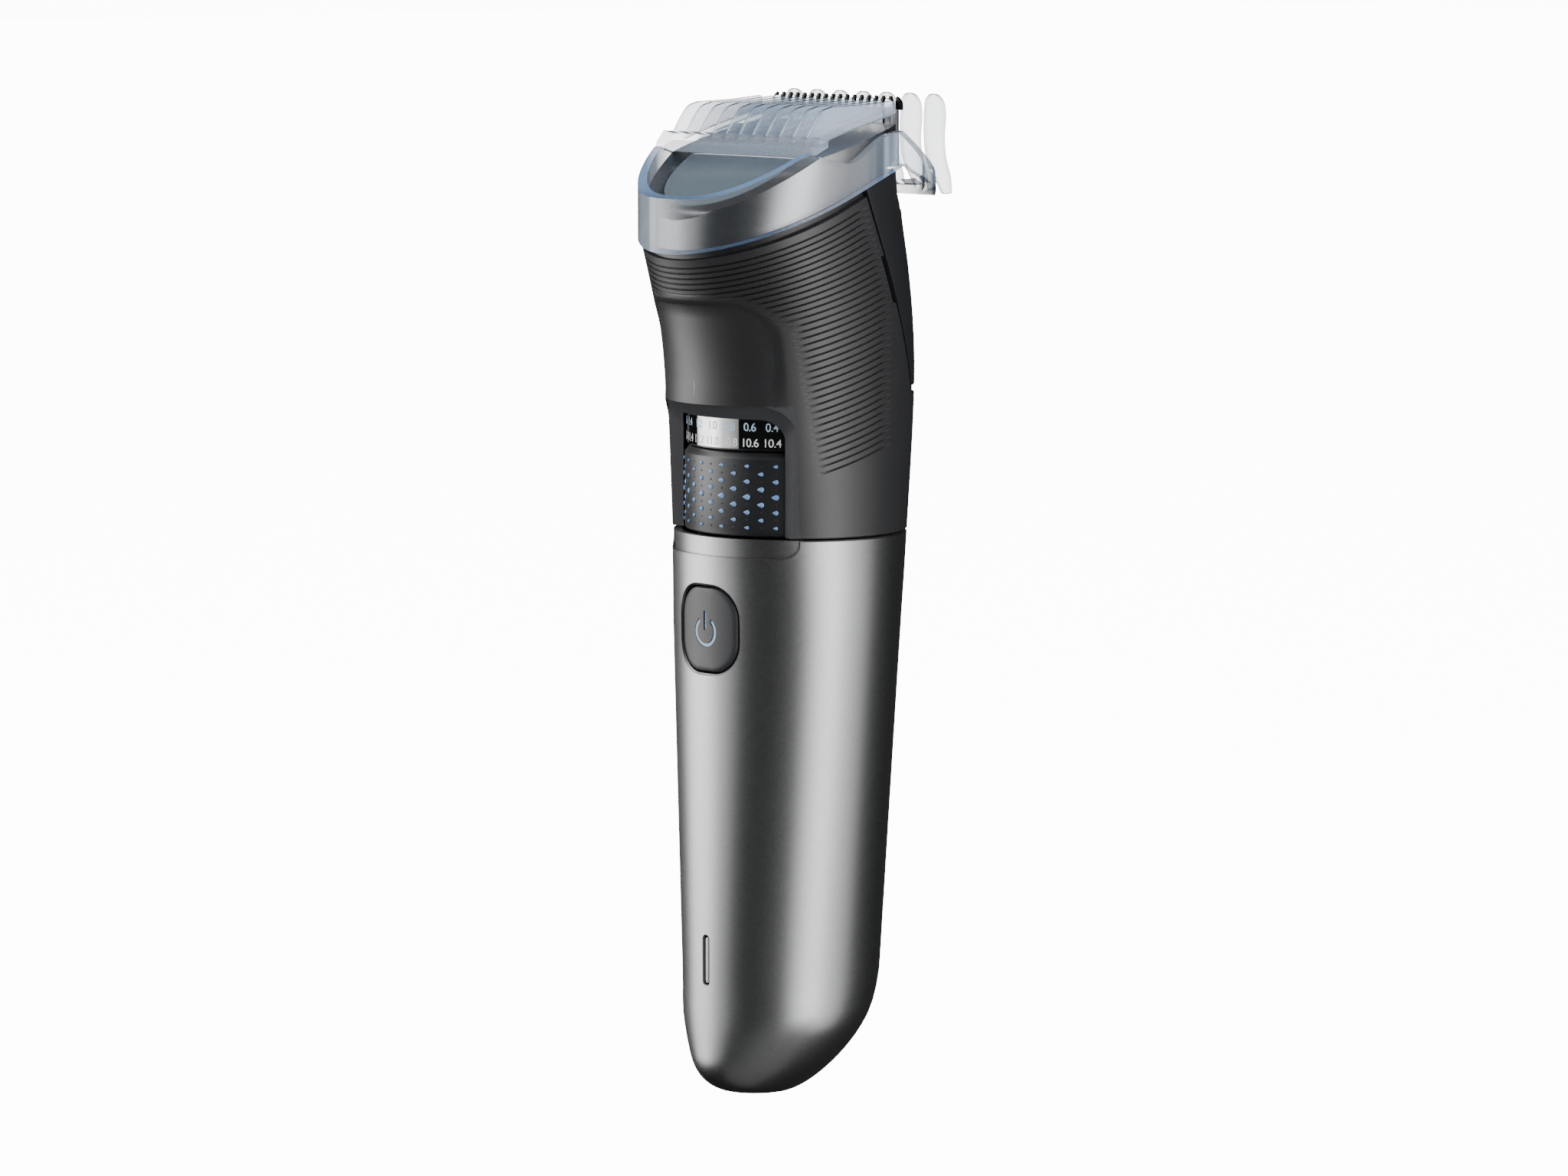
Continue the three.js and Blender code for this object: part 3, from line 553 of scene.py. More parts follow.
def handle_shell():
    """Shell with its rounded foot, the step under the wheel window, and the holes in its front."""
    edge, floor_z = 0.22, 2.4
    levels = np.concatenate([[0], np.geomspace(0.12, 24, 36), np.linspace(26, HANDLE_TOP - edge, 44)])
    angle = np.arange(FINE) * 2 * np.pi / FINE
    rows = [body_point(angle, np.full_like(angle, z)) + (np.full_like(angle, z),) for z in levels]
    rim = np.full_like(angle, HANDLE_TOP)
    rows.append(body_point(angle, rim, edge) + (rim,))
    shell = grid_solid("handle_skin", *(np.stack(part) for part in zip(*rows)))
    cavity = body_solid("cavity", [floor_z, 4, 6, 9, 13, 18, 24, 50, 78.6, HANDLE_TOP + 1], WALL, COARSE)
    step = body_solid("step", [88, 92, 96, 100], -1.5, FINE)
    cut(step, body_solid("step_floor", [86, 92, 96, 102], STEP["depth"], FINE))
    outline = rounded_rectangle(2 * WINDOW["half"], 20, STEP["corner"], HANDLE_TOP - STEP["drop"] + 10)
    keep(step, prism_y("step_side", outline, -FAR, -5))
    button_hole = flared_hole("button_hole", BUTTON_WIDTH + 0.6, BUTTON_HEIGHT + 0.6, BUTTON_CORNER + 0.3,
                              BUTTON_Z, 6, 0.35)
    follow_front(button_hole, BUTTON_Z)
    light_slot = flared_hole("light_slot", SLOT_WIDTH, SLOT_HEIGHT, 0.68, SLOT_Z, 4, 0.2)
    port = prism_z("port", rounded_rectangle(9.8, 3.8, 1.7, 4.0), -1, 9)
    cut(shell, cavity, step, button_hole, light_slot, port)
    finish_piece(shell, "satin_handle", "trimmer_body", ["handle_shell"])


def light_guide():
    """Rounded lens that sits just below the surface in its slot."""
    outline = rounded_rectangle(SLOT_WIDTH - 0.6, SLOT_HEIGHT - 0.6, 0.4, SLOT_Z)
    lens = prism_y("light_guide_lens", outline, float(body_side(SLOT_Z, 1)) + 0.25, -13)
    bevel(lens, 0.2)
    finish_piece(lens, "light_guide", "trimmer_body", ["led_light_guide"])


# ------------ power button
def power_button():
    """Softly crowned cap with a rounded edge, cut back for the icon, on its flange."""
    surface = float(body_side(BUTTON_Z, 1))
    face = surface + 0.12
    outline = rounded_rectangle(BUTTON_WIDTH, BUTTON_HEIGHT, BUTTON_CORNER, BUTTON_Z, 14)
    layers = [(0.9, face - 0.02), (0.55, face), (0.22, face + 0.12), (0.06, face + 0.32), (0.0, face + 0.6),
              (0.0, surface + 3.4)]
    n = len(outline)
    points = [(a * (1 - 2 * inset / BUTTON_WIDTH), y, BUTTON_Z + (b - BUTTON_Z) * (1 - 2 * inset / BUTTON_HEIGHT))
              for inset, y in layers for a, b in outline]
    # The face is filled by shrinking rings so that it can follow the curved front.
    rings = 10
    for k in range(1, rings):
        scale = 1 - k / rings
        points += [(x * scale, y, BUTTON_Z + (z - BUTTON_Z) * scale) for x, y, z in points[:n]]
    points.append((0, layers[0][1], BUTTON_Z))
    centre = len(points) - 1
    faces = bands(len(layers), n)
    start = len(layers) * n
    inner = [list(range(n))] + [list(range(start + k * n, start + (k + 1) * n)) for k in range(rings - 1)]
    for a, b in zip(inner, inner[1:]):
        faces += [(a[i], b[i], b[(i + 1) % n], a[(i + 1) % n]) for i in range(n)]
    faces += [(inner[-1][i], centre, inner[-1][(i + 1) % n]) for i in range(n)]
    faces.append(tuple(range((len(layers) - 1) * n, len(layers) * n)))
    cap = follow_front(solid("power_button_cap", points, faces), BUTTON_Z)
    flange_y = (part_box("power_button")[1][1] - AXIS.y) / MM
    flange = rounded_rectangle(BUTTON_WIDTH + 2, BUTTON_HEIGHT + 1.8, BUTTON_CORNER + 0.9, BUTTON_Z)
    unite(cap, prism_y("flange", flange, flange_y - 0.8, flange_y))
    icon_z = BUTTON_Z - 0.35
    cut(cap, *icon_parts("icon_pocket", icon_z, surface - 1, surface + 0.75, 0.0))
    finish_piece(cap, "button_grey", "button_set", ["power_button"])
    inlay = join("power_icon", icon_parts("icon", icon_z, surface + 0.3, surface + 0.7, 0.05))
    finish_piece(inlay, "icon_blue", "button_set", slot="light_guide")


def icon_parts(name, z, y_low, y_high, margin):
    """Open ring and upright bar, each as its own solid."""
    radius, stroke = 2.65, 0.66
    outer, inner = radius - margin, radius - stroke + margin
    gap = math.radians(34)
    arc = [math.pi / 2 + gap + (2 * math.pi - 2 * gap) * i / 40 for i in range(41)]
    section = ((outer, y_low), (outer, y_high), (inner, y_high), (inner, y_low))
    ring = loft(name + "_ring", [[(r * math.cos(a), y, z + r * math.sin(a)) for r, y in section] for a in arc])
    bar = rounded_rectangle(stroke - 2 * margin, 3.3 - 2 * margin, stroke / 2 - margin - 0.04, z + 1.9, 5)
    return [ring, prism_y(name + "_bar", bar, y_low, y_high)]


# ------------ upper housing
GROOVE = {"count": 36, "top": 152.75, "pitch": 1.2, "fan": 0.0078, "low_slope": 0.33, "depth": 0.34,
          "start": 16.9, "drift": 0.062, "level": 131}
PAD = {"half": 15.3, "top": 136.6, "corner": 6.5, "depth": 0.6, "edge": 1.6}
SLIT_Z, SLIT_WIDTH, SLIT_DEPTH = (135.8, 143.8), 0.85, 1.0
REAR_LEVELS = [112, 116, 120.6, 127, 133.5, 140.6, 146, 151.6, 157, 163]
TONGUE_WAY_BOTTOM = 133.8


def slab(name, low, high):
    return block(name, (-FAR, FAR), (-FAR, FAR), (low, high))


def smoothstep(value, low, high):
    t = np.clip((value - low) / (high - low), 0, 1)
    return t * t * (3 - 2 * t)


def pad_depth(z):
    """How deep the thumb pad is at height z: it runs out towards the wheel window."""
    return PAD["depth"] * smoothstep(z, 117.5, 126.0)


def groove_rows():
    """Planes for the rows of the mesh: height over the axis, slope towards the rear, groove depth."""
    profile = ((0.6, 0.0), (0.19, 0.0), (0.09, 0.8), (0.0, 1.0), (-0.09, 0.8), (-0.19, 0.0))
    rows = [(h, NECK_SLOPE, 0.0) for h in np.linspace(neck_z(0) + 1.2, GROOVE["top"] + 1.2, 4)]
    for k in range(GROOVE["count"]):
        middle = GROOVE["top"] - k * GROOVE["pitch"]
        slope = max(GROOVE["low_slope"], NECK_SLOPE - GROOVE["fan"] * k)
        rows += [(middle + offset, slope, depth) for offset, depth in profile]
    last = rows[-1][0]
    for t in np.linspace(0.93, 0.03, 12):
        rows.append((HOUSING_BOTTOM + t * (last - HOUSING_BOTTOM), slope * float(smoothstep(t, 0, 1)), 0.0))
    rows += [(HOUSING_BOTTOM + 0.2, 0.0, 0.0), (HOUSING_BOTTOM, 0.0, 0.0)]
    return rows[::-1]


def housing_surface(count=320):
    """Outer skin with its fan of grooves, the smooth thumb pad and the slit beside the seam."""
    angle = np.arange(count) * 2 * np.pi / count
    rows = []
    for number, (h, slope, depth) in enumerate(groove_rows()):
        z = np.full(count, h)
        for _ in range(8):
            x, y = body_point(angle, z)
            z = h + slope * y
        r = PAD["corner"]
        pad = np.hypot(np.maximum(np.abs(x) - PAD["half"] + r, 0), np.maximum(z - PAD["top"] + r, 0)) - r
        pad = np.where(y < 0, pad, 9)
        start = np.abs(x) - GROOVE["start"] - GROOVE["drift"] * np.maximum(GROOVE["level"] - z, 0)
        beside = np.maximum(smoothstep(start, -0.4, 1.2), smoothstep(z, GROOVE["level"], GROOVE["level"] + 5))
        groove = GROOVE["depth"] * depth * beside * smoothstep(pad, 0.1, 2.0)
        groove *= smoothstep(np.minimum(seam_y(z), 5.5) - y, 0.4, 3.5)
        dish = pad_depth(z) * (1 - smoothstep(pad, -PAD["edge"], 0.3))
        chamfer = 0.2 if number == 0 else 0.0
        x, y = body_point(angle, z, groove + dish + chamfer)
        rows.append((x, y, z))
    return grid_solid("housing_skin", *(np.array(part) for part in zip(*rows)))


def divided(outline, steps, parts=16):
    """A rounded rectangle whose straight sides have points along them, so that they can be bent."""
    out = []
    for i, (a, b) in enumerate(outline):
        out.append((a, b))
        if i % (steps + 1) == steps:
            c, d = outline[(i + 1) % len(outline)]
            out += [(a + (c - a) * k / parts, b + (d - b) * k / parts) for k in range(1, parts)]
    return out


def window_cutter():
    """Front opening round the wheel: flat jambs, a sloping ledge and rounded upper corners."""
    height, steps = 60, 16
    outer, inner = (divided(rounded_rectangle(2 * half, height, corner, top - height / 2, steps), steps)
                    for half, corner, top in ((WINDOW["half"], WINDOW["corner"], WINDOW["top"]),
                                              (WINDOW["inner_half"], WINDOW["corner"] - 0.8, WINDOW["ledge"])))
    layers = [(outer, 30.0), (outer, 20.9), (inner, WHEEL_RADIUS + 0.25), (inner, 15.2)]
    return loft("opening", [[(a, -math.sqrt(radius ** 2 - a * a), b) for a, b in outline]
                            for outline, radius in layers])


def upper_housing():
    """Skin, inner sleeve and slit, opened for the carriage, the wheel and the window."""
    skin = housing_surface()
    carriage_room = prism_x("carriage_room", [(seam_y(175), 175), (seam_y(SEAM_BOTTOM), SEAM_BOTTOM),
                                              (FAR, SEAM_BOTTOM), (FAR, 175)])
    lip = body_solid("lip", REAR_LEVELS, LIP_INSET)
    cut(carriage_room, keep(lip, slab("lip_slab", SEAM_BOTTOM - 1, SEAM_BOTTOM + LIP_HEIGHT)))
    cut(skin, carriage_room)
    keep(skin, under_neck(-1.6))
    sleeve = prism_z("sleeve", oval(**CORE), 119, 157.6)
    keep(sleeve, under_neck(-0.4), body_solid("sleeve_fit", [118, 127, 133.5, 140.6, 151.6, 158], 0.45),
         ring_solid(RING_WALL + 0.3, 110))
    unite(skin, sleeve)
    low, high = SLIT_Z
    corners = ((low, -SLIT_WIDTH), (low, 0.1), (high, 0.1), (high, -SLIT_WIDTH))
    slit = prism_x("slit", [(seam_y(z) + y, z) for z, y in corners])
    cut(slit, body_solid("slit_floor", REAR_LEVELS, SLIT_DEPTH))
    cut(skin, slit)
    core_cavity = prism_z("core_cavity", oval(**CORE, inset=1.3), 117.9, 170)
    keep(core_cavity, body_solid("cavity", [117] + REAR_LEVELS[2:], WALL, COARSE))
    cut(core_cavity, block("ledge_wall", (-25, 25), (-30, -17.6), (110, 120.8)))
    wheel_room = prism_z("wheel_room", circle(WHEEL_RADIUS + 0.3, count=192), HOUSING_BOTTOM - 1, WHEEL_ROOM_TOP)
    way = block("tongue_way", (-3.8, 3.8), (8, 30), (TONGUE_WAY_BOTTOM, 149.9))
    cut(skin, core_cavity, wheel_room, way, window_cutter())
    finish_piece(skin, "soft_black", "trimmer_body", ["upper_housing"], 26)
    dress_window(skin)
    pointer_line()


def dress_window(skin):
    """The walls of the window and its sloping ledge are matt."""
    skin.data.materials.append(FINISH["window_black"])
    for face in skin.data.polygons:
        x, y, z = (face.center - AXIS) / MM
        inside = abs(x) < WINDOW["half"] + 0.05 and z < WINDOW["top"] + 0.02
        if inside and y < -9 and math.hypot(x, y) > 18:
            face.material_index = 1


def pointer_line():
    """Printed mark over the wheel window, a hair proud of the smooth pad."""
    low, high, half, steps = 120.2, 123.1, 0.14, 8
    rings = []
    for z in (low + (high - low) * i / steps for i in range(steps + 1)):
        front = float(body_side(z, 1) + pad_depth(z))
        rings.append([(x, front + y, z) for x, y in ((-half, -0.02), (half, -0.02), (half, 0.3), (-half, 0.3))])
    finish_piece(loft("pointer_mark", rings), "pointer_grey", "trimmer_body", slot="light_guide")


def comb_carriage():
    """Smooth rear panel with its two horns, and the tongue that the zoom wheel lifts."""
    bottom = SEAM_BOTTOM + COMB_DOWN + 0.3
    side = [(seam_y(155, SEAM_GAP), 155), (seam_y(bottom, SEAM_GAP), bottom), (FAR, bottom), (FAR, 151),
            (10.6, 151), (10.2, 157.2), (7.2, 158.4)]
    panel = body_solid("carriage_skin", np.linspace(112, 163, 48), 0.0, FINE)
    keep(panel, prism_x("carriage_side", side))
    skirt_top = bottom + LIP_HEIGHT
    hollow = keep(body_solid("hollow", REAR_LEVELS, WALL), slab("hollow_slab", skirt_top, 134.0))
    relief = keep(body_solid("relief", REAR_LEVELS, SKIRT), slab("relief_slab", bottom - 1, skirt_top))
    cut(panel, prism_z("core_space", oval(**CORE, inset=-0.3), 115, 170), hollow, relief)
    bevel(panel, 0.18, 2, 40)
    tongue = prism_x("tongue", [(10.8, 99), (11.9, 99), (11.9, 135.5), (16.6, 135.5), (16.6, 141), (10.8, 141)],
                     -3.4, 3.4)
    unite(panel, tongue)
    finish_piece(panel, "panel_black", "comb_slide", ["comb_carriage"], slot="soft_black")


# ------------ zoom wheel
def zoom_wheel():
    edge = 0.4
    low, high, outer = WHEEL_BOTTOM - 0.45, WHEEL_TOP, WHEEL_RADIUS
    profile = [(WHEEL_BORE, low), (outer - edge, low), (outer - 0.12, low + edge * 0.4), (outer, low + edge),
               (outer, high - 1.1), (outer - 0.75, high - 0.1), (outer - 0.9, high), (WHEEL_BORE, high)]
    ring = lathe("wheel_ring", profile)
    ring.data.materials.append(FINISH["wheel_black"])
    columns, rows = 44, 5
    pitch, middle = 2.6, WHEEL_BOTTOM + 6.35
    dots, pits = [], []
    for column in range(columns):
        angle = 2 * math.pi * column / columns
        odd = column % 2
        dots += [(angle, middle + up, 0.5 - 0.036 * abs(up)) for up in centred(rows - odd, pitch)]
        pits += [(angle, middle + up, 0.19) for up in centred(rows - 1 + odd, pitch)]
    parts = [ring, studs("dots", dots, 0.24, "dot_blue"), studs("pits", pits, 0.05, "pit_black")]
    wheel = join("zoom_wheel_grip", parts)
    finish_piece(wheel, None, "zoom_wheel_set", ["zoom_wheel"], slot="wheel_black")


def studs(name, places, height, finish, sides=20):
    """Low domes on the wheel, drawn out to a point against the turning direction."""
    levels = ((1.0, -0.06), (0.94, 0.45), (0.72, 0.82), (0.36, 1.0))
    points, faces = [], []
    for angle, z, radius in places:
        start = len(points)
        for scale, lift in levels:
            for i in range(sides):
                turn = 2 * math.pi * i / sides
                across, up = math.cos(turn), math.sin(turn)
                if across < 0:
                    up *= 1 + 0.55 * across
                    across *= 1.7
                across, up = across * radius * scale, up * radius * scale
                around = angle + across / WHEEL_RADIUS
                points.append(polar(WHEEL_RADIUS + height * lift, around, z + up))
        points += [polar(WHEEL_RADIUS + height, angle, z), polar(WHEEL_RADIUS - 0.3, angle, z)]
        tip, root = len(points) - 2, len(points) - 1
        last = start + (len(levels) - 1) * sides
        faces += bands(len(levels), sides, start)
        for i in range(sides):
            j = (i + 1) % sides
            faces += [(last + i, last + j, tip), (start + j, start + i, root)]
    obj = solid(name, points, faces)
    obj.data.materials.append(FINISH[finish])
    return obj


def scale_values():
    """Upper row of numbers; the lower row reads ten more."""
    return [0.4 + 0.2 * i for i in range(9)] + [2.5 + 0.5 * i for i in range(16)]


def number_label(text, size, angle, z, radius, finish):
    """Digits as a thin solid wrapped round the scale ring, facing outwards at the given angle."""
    curve = bpy.data.curves.new("digits", "FONT")
    curve.body = text
    curve.size = size
    curve.align_x = curve.align_y = "CENTER"
    curve.extrude = 0.04
    curve.offset = 0.006
    curve.space_character = 0.95
    flat = add_object("digits", curve)
    graph = bpy.context.evaluated_depsgraph_get()
    mesh = bpy.data.meshes.new_from_object(flat.evaluated_get(graph))
    bpy.data.objects.remove(flat)
    for v in mesh.vertices:
        v.co = Vector(place([polar(radius + v.co.z - 0.015, angle + v.co.x / radius, z + v.co.y)])[0])
    mesh.materials.clear()
    mesh.materials.append(FINISH[finish])
    return add_object("digits", mesh)


def scale_ring():
    edge = 0.3
    profile = [(WHEEL_BORE, BAND_BOTTOM), (BAND_RADIUS - edge, BAND_BOTTOM), (BAND_RADIUS, BAND_BOTTOM + edge),
               (BAND_RADIUS, BAND_TOP - edge), (BAND_RADIUS - edge, BAND_TOP), (WHEEL_BORE, BAND_TOP)]
    ring = lathe("scale_band", profile)
    finish_piece(ring, "scale_black", "zoom_wheel_set", ["scale_ring"])
    upper, lower = [], []
    rest_index, size = 3, 2.0
    for index, value in enumerate(scale_values()):
        angle = math.radians(-90 - (index - rest_index) * NUMBER_PITCH)
        for labels, number, height, finish in ((upper, value, 3.95, "number_blue"),
                                               (lower, value + 10, 1.3, "number_white")):
            labels.append(number_label(f"{number:.1f}", size, angle, BAND_BOTTOM + height, BAND_RADIUS, finish))
    for name, labels, finish in (("scale_short", upper, "number_blue"), ("scale_long", lower, "number_white")):
        finish_piece(join(name, labels), finish, "zoom_wheel_set", slot="light_guide")


# ------------ head
HEAD_TOP = [(HEAD_REAR, 165.6), (4, 164.4), (-10, 160.4), (-24.2, 151.8), (-25.8, 150.2), (-27.5, 147)]
PANEL_HIGH, PANEL_LOW = HEAD_TOP[2], HEAD_TOP[3]
PANEL = {"front": -23.2, "rear": -10.1, "half": 13.4, "centre": -11.3, "powers": (2.1, 8.0)}


def core_and_head(inset, z_low, z_high):
    plan = prism_z("head_plan", oval(**HEAD, inset=inset, count=FINE), z_low, z_high)
    return keep(plan, prism_z("core_plan", oval(**CORE, inset=inset, count=FINE), z_low - 1, z_high + 1))


def head_panel_block(margin, floor, lid):
    """The U-shaped place on the sloping top; margin shrinks it, floor and lid are its depths."""
    plan = prism_z("panel_plan", oval(**PANEL, inset=margin, count=COARSE), 140, 175)
    low, high = PANEL_LOW, PANEL_HIGH
    ends = ((low, floor), (high, floor), (high, lid), (low, lid))
    side = [(y, z + lift) for (y, z), lift in ends]
    return keep(plan, prism_x("panel_slab", side, -20, 20))


def head_housing():
    outline = HEAD_TOP + [(-27.5, neck_z(-27.5)), (HEAD_REAR, neck_z(HEAD_REAR))]
    hollow = [(10.8, 163.7), (3.6, 162.8), (-10.4, 158.7), (-23.4, 150.7), (-24.6, 149.4), (-24.6, 140),
              (10.8, 140)]
    head = core_and_head(0.0, 140, 175)
    keep(head, prism_x("head_side", outline, -25, 25))
    bevel(head, 0.7, 4, 30)
    inside = core_and_head(1.6, 135, 175)
    keep(inside, prism_x("hollow_side", hollow, -25, 25))
    cut(head, inside)
    # Cheeks beside the blades carry the silver up to the teeth.
    for x in ((-16.1, -14.4), (14.4, 16.1)):
        cheek = block("cheek", x, (8.6, 11.5), (158.4, TIP_Z - 2.75))
        keep(cheek, core_and_head(0.0, 140, 175))
        bevel(cheek, 0.3, 3, 40)
        unite(head, cheek)
    pocket = head_panel_block(0.0, -1.0, 3.0)
    cut(head, pocket)
    finish_piece(head, "silver_head", "trimmer_body", ["head_housing"], 24)
    panel = head_panel_block(0.05, -0.7, -0.04)
    bevel(panel, 0.06, 2, 40)
    finish_piece(panel, "panel_blue", "trimmer_body", ["head_panel"])


# ------------ blades
BLADE_SCREW_X, BLADE_SCREW_Z = 8.8, 162.6
TOOTH_PITCH = 1.8


def toothed_plate(name, half, y, z_low, z_high, depth, gap, point):
    """Plate whose upper edge is cut into teeth that taper to blunt points, with wide end teeth."""
    count = 2 * int((half - 1) / TOOTH_PITCH)
    waist, shoulder = half - 2.4, z_high - depth - 0.4
    outline = [(-waist, z_low), (waist, z_low), (waist, shoulder), (half, shoulder), (half, z_high - 0.9),
               (half - 0.5, z_high - 0.3)]
    for i in range(count, -1, -1):
        x = (i - count / 2) * TOOTH_PITCH
        outline += [(x + gap / 2 + point, z_high), (x + gap / 2, z_high - 0.8)]
        outline += [(x + gap / 2 * math.cos(a), z_high - depth - gap / 2 * math.sin(a) + gap / 2)
                    for a in np.linspace(0, math.pi, 7)]
        outline += [(x - gap / 2, z_high - 0.8), (x - gap / 2 - point, z_high)]
    outline += [(-half + 0.5, z_high - 0.3), (-half, z_high - 0.9), (-half, shoulder), (-waist, shoulder)]
    return prism_y(name, outline, *y)


def guard_blade():
    """Fixed blade; the rear face leans in above the roots of the teeth, to thin tips."""
    plate = toothed_plate("guard_plate", 16.1, (10.7, 11.4), 160.4, TIP_Z - 0.4, 1.9, 0.9, 0.2)
    holes = [prism_y("hole", circle(1.15, x, BLADE_SCREW_Z, 32), 10, 13) for x in (-BLADE_SCREW_X, BLADE_SCREW_X)]
    cut(plate, *holes)
    thin_tips(plate, [(11.45, TIP_Z - 2.2), (11.05, TIP_Z + 0.1), (12, TIP_Z + 0.1), (12, TIP_Z - 2.2)])
    finish_piece(plate, "blade_black", "trimmer_body", ["guard_blade"])


def cutter_blade():
    plate = toothed_plate("cutter_plate", 15.2, (9.7, 10.4), 160.8, TIP_Z - 0.8, 1.6, 0.9, 0.2)
    thin_tips(plate, [(9.65, TIP_Z - 2.6), (10.05, TIP_Z - 0.4), (9.3, TIP_Z - 0.4), (9.3, TIP_Z - 2.6)])
    finish_piece(plate, "steel", "cutter_set", ["cutter_blade"])


def thin_tips(plate, side):
    cut(plate, prism_x("tip_chamfer", side, -17, 17))
    bevel(plate, 0.05, 1, 40)


def blade_carrier():
    side = [(11.7, 159.9), (13.2, 160.3), (13.2, 164.4), (12.1, 167.4), (11.7, 167.4)]
    carrier = prism_x("carrier", side, -13, 13)
    bevel(carrier, 0.25, 3, 30)
    for x in (-BLADE_SCREW_X, BLADE_SCREW_X):
        cut(carrier, prism_y("hole", circle(1.15, x, BLADE_SCREW_Z, 32), 10.8, 13.8),
            prism_y("sink", circle(1.85, x, BLADE_SCREW_Z, 40), 12.1, 13.8))
    finish_piece(carrier, "blade_black", "trimmer_body", ["blade_carrier"])
    for side_name, x in (("left", -BLADE_SCREW_X), ("right", BLADE_SCREW_X)):
        blade_screw(side_name, x)


def blade_screw(side_name, x):
    """Low-headed screw with a cross recess."""
    screw = prism_y("head", circle(1.5, x, BLADE_SCREW_Z, 40), 12.4, 13.1)
    bevel(screw, 0.18, 3, 40)
    unite(screw, prism_y("shank", circle(0.8, x, BLADE_SCREW_Z, 24), 10.8, 12.6))
    reach, width = 0.85, 0.17
    arm = [(-width, -reach), (width, -reach), (width, reach), (-width, reach)]
    for turn in (False, True):
        points = [(x + (b if turn else a), BLADE_SCREW_Z + (a if turn else b)) for a, b in arm]
        cut(screw, prism_y("recess", points, 12.75, 13.8))
    finish_piece(screw, "steel", "trimmer_body", [f"blade_screw_{side_name}"])
    screw.name = f"carrier_screw_{side_name}"


# ------------ guide comb
RIB_COUNT, RIB_PITCH, RIB_THICKNESS = 11, 3.37, 1.15
TOOTH_COUNT, COMB_TOOTH_PITCH, COMB_TOOTH_THICKNESS = 7, 5.87, 1.4


def ring_solid(inset, z_low=130, z_high=180):
    return prism_z("ring", oval(**RING, inset=inset, count=240), z_low, z_high)


def comb_ring():
    """The band round the neck, its dip at the arms and the tail that carries the rear teeth."""
    top = spline([(-8.2, 159.95), (-5.5, 159.55), (-3, 160.35), (2, 163.6), (6.6, 164.7)], 7)
    front_edge = spline([(-29, 153.3), (-25, 154.4), (-20, 157.2), (-13.2, 161.35)], 6)
    tail = [(7.5, neck_z(7.5)), (9.5, 157.9), (17.4, 154.6), (19, 153.2), (21.3, 153.1), (22, 153.4), (22, 154.1),
            (20.6, 154.9)]
    profile = [(-29, neck_z(-29))] + tail + list(reversed(top)) + list(reversed(front_edge))
    ring = cut(ring_solid(0.0), ring_solid(RING_WALL, 128, 182))
    return keep(ring, prism_x("comb_side", profile, -25, 25))


def comb_rib(x):
    """One curved rib, whose front edge bulges forwards and runs down to the cross bar."""
    back = spline([(-12.4, 161.4), (-10.0, 162.2), (-3.0, 164.4), (4.0, 166.2), (8.7, 167.4)], 4)
    top = [(8.5, 169.6), (1.9, 169.1)]
    front = spline([(-5.7, 168.9), (-7.9, 168.2), (-9.6, 166.3), (-10.9, 164.4), (-12.1, 162.5)], 5)
    return prism_x("rib", back + top + front, x - RIB_THICKNESS / 2, x + RIB_THICKNESS / 2)


def comb_tooth(x):
    side = spline([(19.2, 153.5), (21, 153.5)], 1) + \
        spline([(20.7, 156.4), (19.6, 159.6), (19.2, 163.0), (19.5, 166.4), (19.2, 168.8), (18.0, 170.25),
                (16.5, 170.5), (15.4, 169.4), (15.15, 167.0), (15.1, 163.6), (15.5, 160.4), (16.8, 157.2),
                (18.4, 155.0)], 4)
    return prism_x("tooth", side, x - COMB_TOOTH_THICKNESS / 2, x + COMB_TOOTH_THICKNESS / 2)


def guide_comb():
    comb = comb_ring()
    bar = prism_x("bar", [(-12.9, 160.6), (-9, 162.3), (-9, 163.4), (-11.2, 164), (-12.9, 161.9)], -19.7, 19.7)
    unite(comb, bar)
    for x in centred(RIB_COUNT, RIB_PITCH):
        unite(comb, bevel(comb_rib(x), 0.28, 3, 50))
    keep(comb, unite(ring_solid(0.0), block("back_room", (-25, 25), (6.4, 30), (140, 180))))
    for x in centred(TOOTH_COUNT, COMB_TOOTH_PITCH):
        unite(comb, bevel(comb_tooth(x), 0.35, 3, 50))
    dress_comb(comb)
    finish_piece(comb, None, "comb", ["guide_comb"], 28, slot="comb_clear")


def dress_comb(comb):
    """Blue bands on the ring's edges, a clear ring, and milkier ribs and teeth."""
    comb.data.materials.clear()
    for finish in ("comb_clear", "comb_edge", "comb_milky", "comb_ring"):
        comb.data.materials.append(FINISH[finish])
    for face in comb.data.polygons:
        y = (face.center.y - AXIS.y) / MM
        z = face.center.z / MM
        edge_up = face.normal.z > 0.5 and z < 161.6 and y < -5
        edge_down = face.normal.z < -0.5 and z < neck_z(y) + 0.5 and y < 8
        if edge_up or edge_down:
            face.material_index = 1
        elif z > 164.2 or z > 161.6 and abs(face.normal.x) > 0.5 or y > 14.5:
            face.material_index = 2
        elif y < 0 and z < 160.5:
            face.material_index = 3


# ------------ CAD nodes that stay
def dress_cad_nodes():
    """Gives every CAD node that still shows the finish of its slot."""
    slots = {part["node"]: part["material_slot"] for part in frame["record"]["subparts"]}
    for name, node in frame["nodes"].items():
        if not node.hide_render:
            node.data.materials.clear()
            node.data.materials.append(FINISH[slots[name]])


# ------------ floor, light and camera
CAMERA_SIDE = (0.743, -0.669)
CAMERA_DISTANCE, CAMERA_HEIGHT, CAMERA_PITCH = 1050.0, 209.6, 6.706
SENSOR, LENS, SHIFT_X = 36.0, 141.9, -0.0034
